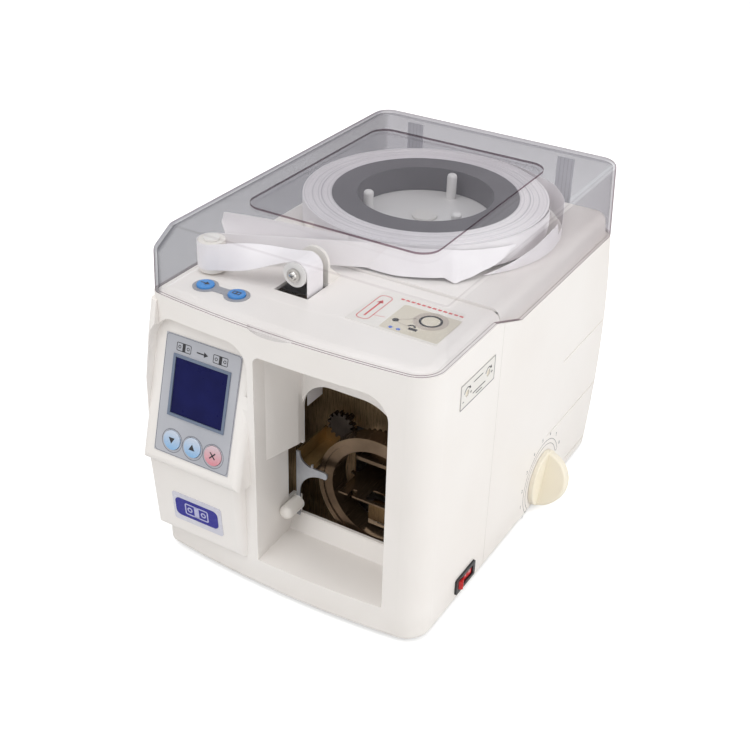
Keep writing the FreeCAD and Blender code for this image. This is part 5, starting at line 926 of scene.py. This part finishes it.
# -------- tape path
def wound_roll():
    """The roll of tape: layers that stand a little uneven, spun round the reel's axis."""
    low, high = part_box("paper_roll")
    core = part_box("roll_core")
    middle = (low + high) / 2
    inner = (core[1].x - core[0].x) / 2 + 0.1 * MM
    outer = (high.x - low.x) / 2
    layers, gap, deepest = 26, 0.01, 0.5
    pitch = (outer - inner) / layers
    rng = random.Random(7)
    heights = [rng.uniform(0.0, deepest) * MM for _ in range(layers)]
    crown = [(inner + pitch * (step + side * (1 - 2 * gap) + gap), high.z - heights[step])
             for step in range(layers) for side in (0, 1)]
    foot = [(x, low.z + (high.z - z) * 0.5) for x, z in reversed(crown)]
    bm = bmesh.new()
    ring = [bm.verts.new((x, 0, z)) for x, z in crown + foot]
    edges = [bm.edges.new((first, second)) for first, second in zip(ring, ring[1:] + ring[:1])]
    bmesh.ops.spin(bm, geom=ring + edges, axis=(0, 0, 1), cent=(0, 0, 0), steps=128,
                   angle=2 * math.pi, use_merge=True)
    bmesh.ops.remove_doubles(bm, verts=bm.verts, dist=0.01 * MM)
    bmesh.ops.translate(bm, vec=(middle.x, middle.y, 0), verts=bm.verts)
    bmesh.ops.recalc_face_normals(bm, faces=bm.faces)
    roll = piece("wound_roll", bm, "reel", "paper", 25)
    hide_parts("paper_roll")


def loose_tape(name, steps, across, shape, weld=0.0):
    """A thin strip of tape; shape turns places along and up it, 0 to 1, into a point."""
    bm = bmesh.new()
    bmesh.ops.create_grid(bm, x_segments=steps, y_segments=across, size=0.5)
    for vert in bm.verts:
        vert.co = shape(vert.co.x + 0.5, vert.co.y + 0.5)
    if weld:
        bmesh.ops.remove_doubles(bm, verts=bm.verts, dist=weld)
    bmesh.ops.recalc_face_normals(bm, faces=bm.faces)
    bmesh.ops.solidify(bm, geom=bm.faces[:], thickness=TAPE)
    bmesh.ops.recalc_face_normals(bm, faces=bm.faces)
    piece(name, bm, "root", "tape", 40)


def paper_band(name, middle, rows):
    """A loose band of tape round an upright axis, torn along its ends.

    Each row is the angle in degrees, then the radius and height of the lower edge and of the
    upper edge, in millimetres.
    """
    angles = [row[0] for row in rows]
    radii = (1, 3)  # their places in a row

    def between(angle):
        """The row at an angle: smooth radii and straight edges."""
        last = next((n for n in range(1, len(rows)) if angle >= angles[n] - 1e-6), len(rows) - 1)
        first = last - 1
        part = (angle - angles[first]) / (angles[last] - angles[first])
        soft = part * part * (3 - 2 * part)
        return [a + (b - a) * (soft if place in radii else part)
                for place, (a, b) in enumerate(zip(rows[first], rows[last]))]

    def shape(along, up):
        angle = angles[0] + (angles[-1] - angles[0]) * along
        _, low_r, low_z, high_r, high_z = between(angle)
        bulge = 0.5 * math.sin(angle * 0.21) * math.sin(up * 3.1)
        reach = low_r + (high_r - low_r) * up + bulge
        turn = math.radians(angle)
        return (middle.x + reach * MM * math.cos(turn), middle.y + reach * MM * math.sin(turn),
                (low_z + (high_z - low_z) * up) * MM)

    loose_tape(name, 90, 5, shape, 0.05 * MM)


def torn_tail(start, end, foot, top):
    """A straight torn end of tape that stands behind the guide roller, in millimetres."""
    tear, sway, droop = 6.0, 1.2, 4.5

    def shape(along, up):
        ragged = tear * abs((up * 1.5 + 0.5) % 1 - 0.5) * (1 - along) ** 5
        bend = sway * math.sin(along * 5.0) * up
        x, y = (a + (b - a) * along for a, b in zip(start, end))
        z = foot + (top - foot) * up - droop * along * up
        return (x + ragged) * MM, (y + bend) * MM, z * MM

    loose_tape("torn_tail", 40, 9, shape)


def torn_turns():
    """Loose outer turns of the tape, standing round the roll and lying on the deck."""
    low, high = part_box("paper_roll")
    middle = (low + high) / 2
    outer = (high.x - low.x) / 2 / MM
    foot, top, deck = low.z / MM, high.z / MM, low.z / MM - 2.2
    near, wide = outer + 0.9, outer + 12.0
    snug = near + 0.6
    torn = [(angle, wide, deck, wide - inset, top - drop) for angle, inset, drop in (
        (27, 0, 0.5), (22, 0, 6), (19, 0, 4), (15, 0, 15), (12, 0, 13), (9, 0, 16),
        (7, 0.5, 3), (3, 0.5, 5), (1, 0.5, 4))]
    paper_band("loose_turn", middle, [
        (84, near, foot, near, top), (60, near + 3, foot - 1, near + 3, top),
        (40, near + 9, deck, near + 9.5, top), *torn,
        (-8, wide - 0.5, deck, wide - 1, top - 8), (-22, wide - 1.5, deck, wide - 2, top - 15),
        (-37, wide - 3, deck, wide - 3, deck + 0.3)])
    paper_band("outer_turn", middle, [
        (24, snug, foot + 8, snug, top - 3), (20, snug, foot + 4, snug, top),
        (16, snug, foot + 5, snug, top - 2), (12, near + 0.5, foot + 1, near + 0.5, top),
        (0, snug, foot, near + 0.4, top), (-40, near + 1.5, foot, near, top),
        (-80, snug, foot, near, top), (-106, near, foot, near - 0.2, top)])
    roller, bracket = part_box("guide_roller"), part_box("turn_bracket")[1]
    torn_tail((roller[0].x / MM - 3, roller[1].y / MM + 19),
              (bracket.x / MM - 0.5, bracket.y / MM + 12), foot + 3, top + 8)
    paper_band("front_skirt", middle, [
        (-20, near + 3, top - 9, near + 2.6, top - 6), (-36, near + 9, foot + 3, near + 2, top - 4),
        (-46, near + 13, foot - 1, near + 2, top - 3), (-50, near + 16, deck, near + 2, top - 2),
        (-54, near + 11, deck + 2.5, near + 1.5, top - 1.5),
        (-70, near + 9, deck + 1, near + 1.5, top - 1),
        (-88, near + 5, deck + 1, near + 1.2, top - 1),
        (-102, near + 1.8, foot, near + 1.0, top - 2),
        (-107, near + 1.5, foot + 8, near + 1.0, top - 8)])


def roller_screw():
    """The cross-headed screw that holds the turning roller on its axle."""
    middle = centre("turn_roller")
    around = 5 * MM
    axle = min(v.co.y for v in NODES["roller_axles"].data.vertices
               if abs(v.co.x - middle.x) < around and abs(v.co.z - middle.z) < around)
    head, dome = 1.2 * MM, 0.25 * MM
    bm = bmesh.new()
    made = bmesh.ops.create_cone(bm, cap_ends=True, segments=40, radius1=3.3 * MM, radius2=2.6 * MM,
                                 depth=head)
    bmesh.ops.rotate(bm, cent=(0, 0, 0), matrix=Matrix.Rotation(math.radians(90), 3, "X"),
                     verts=made["verts"])
    front = [face for face in bm.faces if face.normal.dot(FRONT) > ALIGNED]
    bmesh.ops.inset_region(bm, faces=front, thickness=0.5 * MM, depth=dome)
    bmesh.ops.translate(bm, vec=(middle.x, axle - head / 2, middle.z), verts=bm.verts)
    piece("roller_screw", bm, "root", "bright", 30)
    cross = Print(axes_at(RIGHT, UP, FRONT, Vector((middle.x, axle - head - dome, middle.z))))
    for turn in (20, 110):
        cross.bar(0, 0, 3.4, 0.7, turn)
    cross.done("roller_screw_cross", "root", "ink_black", "bright_steel")


# -------- stage, light and camera
def pale_stage():
    """A pale floor that keeps a soft shadow and fades into a white surround."""
    bm = bmesh.new()
    bmesh.ops.create_grid(bm, x_segments=8, y_segments=8, size=4.0)
    mesh = bpy.data.meshes.new("floor")
    bm.to_mesh(mesh)
    bm.free()
    floor = new_object("floor", mesh)
    finish = Finish("floor_white", colour(238, 238, 238), 0.9)
    glow = finish.add("ShaderNodeEmission")
    rays = finish.add("ShaderNodeLightPath").outputs
    seen = finish.math("MAXIMUM", rays["Is Camera Ray"], rays["Is Transmission Ray"])
    finish.join(finish.math("MULTIPLY", seen, 0.5), glow.inputs["Strength"])
    both = finish.add("ShaderNodeAddShader")
    finish.join(finish.shader.outputs[0], both.inputs[0])
    finish.join(glow.outputs[0], both.inputs[1])
    finish.join(both.outputs[0], finish.tree.nodes["Material Output"].inputs["Surface"])
    mesh.materials.append(finish.material)


def white_surround():
    """White where it is seen, also in reflections, and dimmer where it only lights."""
    world = bpy.data.worlds.new("surround")
    bpy.context.scene.world = world
    world.use_nodes = True
    nodes, links = world.node_tree.nodes, world.node_tree.links
    back = nodes["Background"]
    back.inputs["Color"].default_value = (1, 1, 1, 1)
    rays = nodes.new("ShaderNodeLightPath").outputs
    shown = rays["Is Camera Ray"]
    for ray in ("Is Transmission Ray", "Is Glossy Ray"):
        either = nodes.new("ShaderNodeMath")
        either.operation = "MAXIMUM"
        links.new(shown, either.inputs[0])
        links.new(rays[ray], either.inputs[1])
        shown = either.outputs[0]
    level = nodes.new("ShaderNodeMapRange")
    level.inputs["To Min"].default_value = 0.48
    level.inputs["To Max"].default_value = 1.0
    links.new(shown, level.inputs["Value"])
    links.new(level.outputs["Result"], back.inputs["Strength"])


def soft_light(name, place, size, power):
    """A rectangular lamp that looks at the middle of the machine."""
    aim = Vector((0, 0, 0.13))
    lamp = bpy.data.lights.new(name, "AREA")
    lamp.shape = "RECTANGLE"
    lamp.size, lamp.size_y = size
    lamp.energy = power
    thing = new_object(name, lamp)
    thing.location = place
    thing.rotation_euler = (aim - Vector(place)).to_track_quat("-Z", "Y").to_euler()


def studio():
    """Four lamps: their places, sizes and power in watts."""
    soft_light("key_from_right", (1.6, 0.1, 0.8), (1.2, 1.2), 12)
    soft_light("fill_from_front", (-0.9, -1.6, 0.9), (1.4, 1.2), 4)
    soft_light("overhead", (0.0, -0.8, 1.75), (1.6, 1.4), 15)
    soft_light("glow_from_behind", (-1.7, 0.9, 0.4), (1.0, 0.7), 6)


def eye():
    """The camera, in front to the right and above, turned a little about its own axis."""
    yaw, pitch, roll = (math.radians(angle) for angle in (29.918, 31.337, 1.783))
    away = Vector((math.sin(yaw) * math.cos(pitch), -math.cos(yaw) * math.cos(pitch),
                   math.sin(pitch)))
    level = Vector((math.cos(yaw), math.sin(yaw), 0))
    upright = away.cross(level)
    side = level * math.cos(roll) + upright * math.sin(roll)
    top = upright * math.cos(roll) - level * math.sin(roll)
    lens = bpy.data.cameras.new("eye")
    lens.sensor_width = 36.0
    lens.lens = 58.59
    lens.clip_start = 10 * MM
    thing = new_object("eye", lens)
    thing.matrix_world = axes_at(side, top, away, Vector((0.39735, -0.74083, 0.63243)))
    bpy.context.scene.camera = thing


dress_nodes()
for make in (display_prints, key_prints, badge_prints, deck_button_prints, deck_label_prints,
             side_label_prints, dial_scale, rocker_prints, wound_roll, torn_turns, roller_screw,
             pale_stage, white_surround, studio, eye):
    make()
bpy.context.scene.view_settings.view_transform = "Standard"
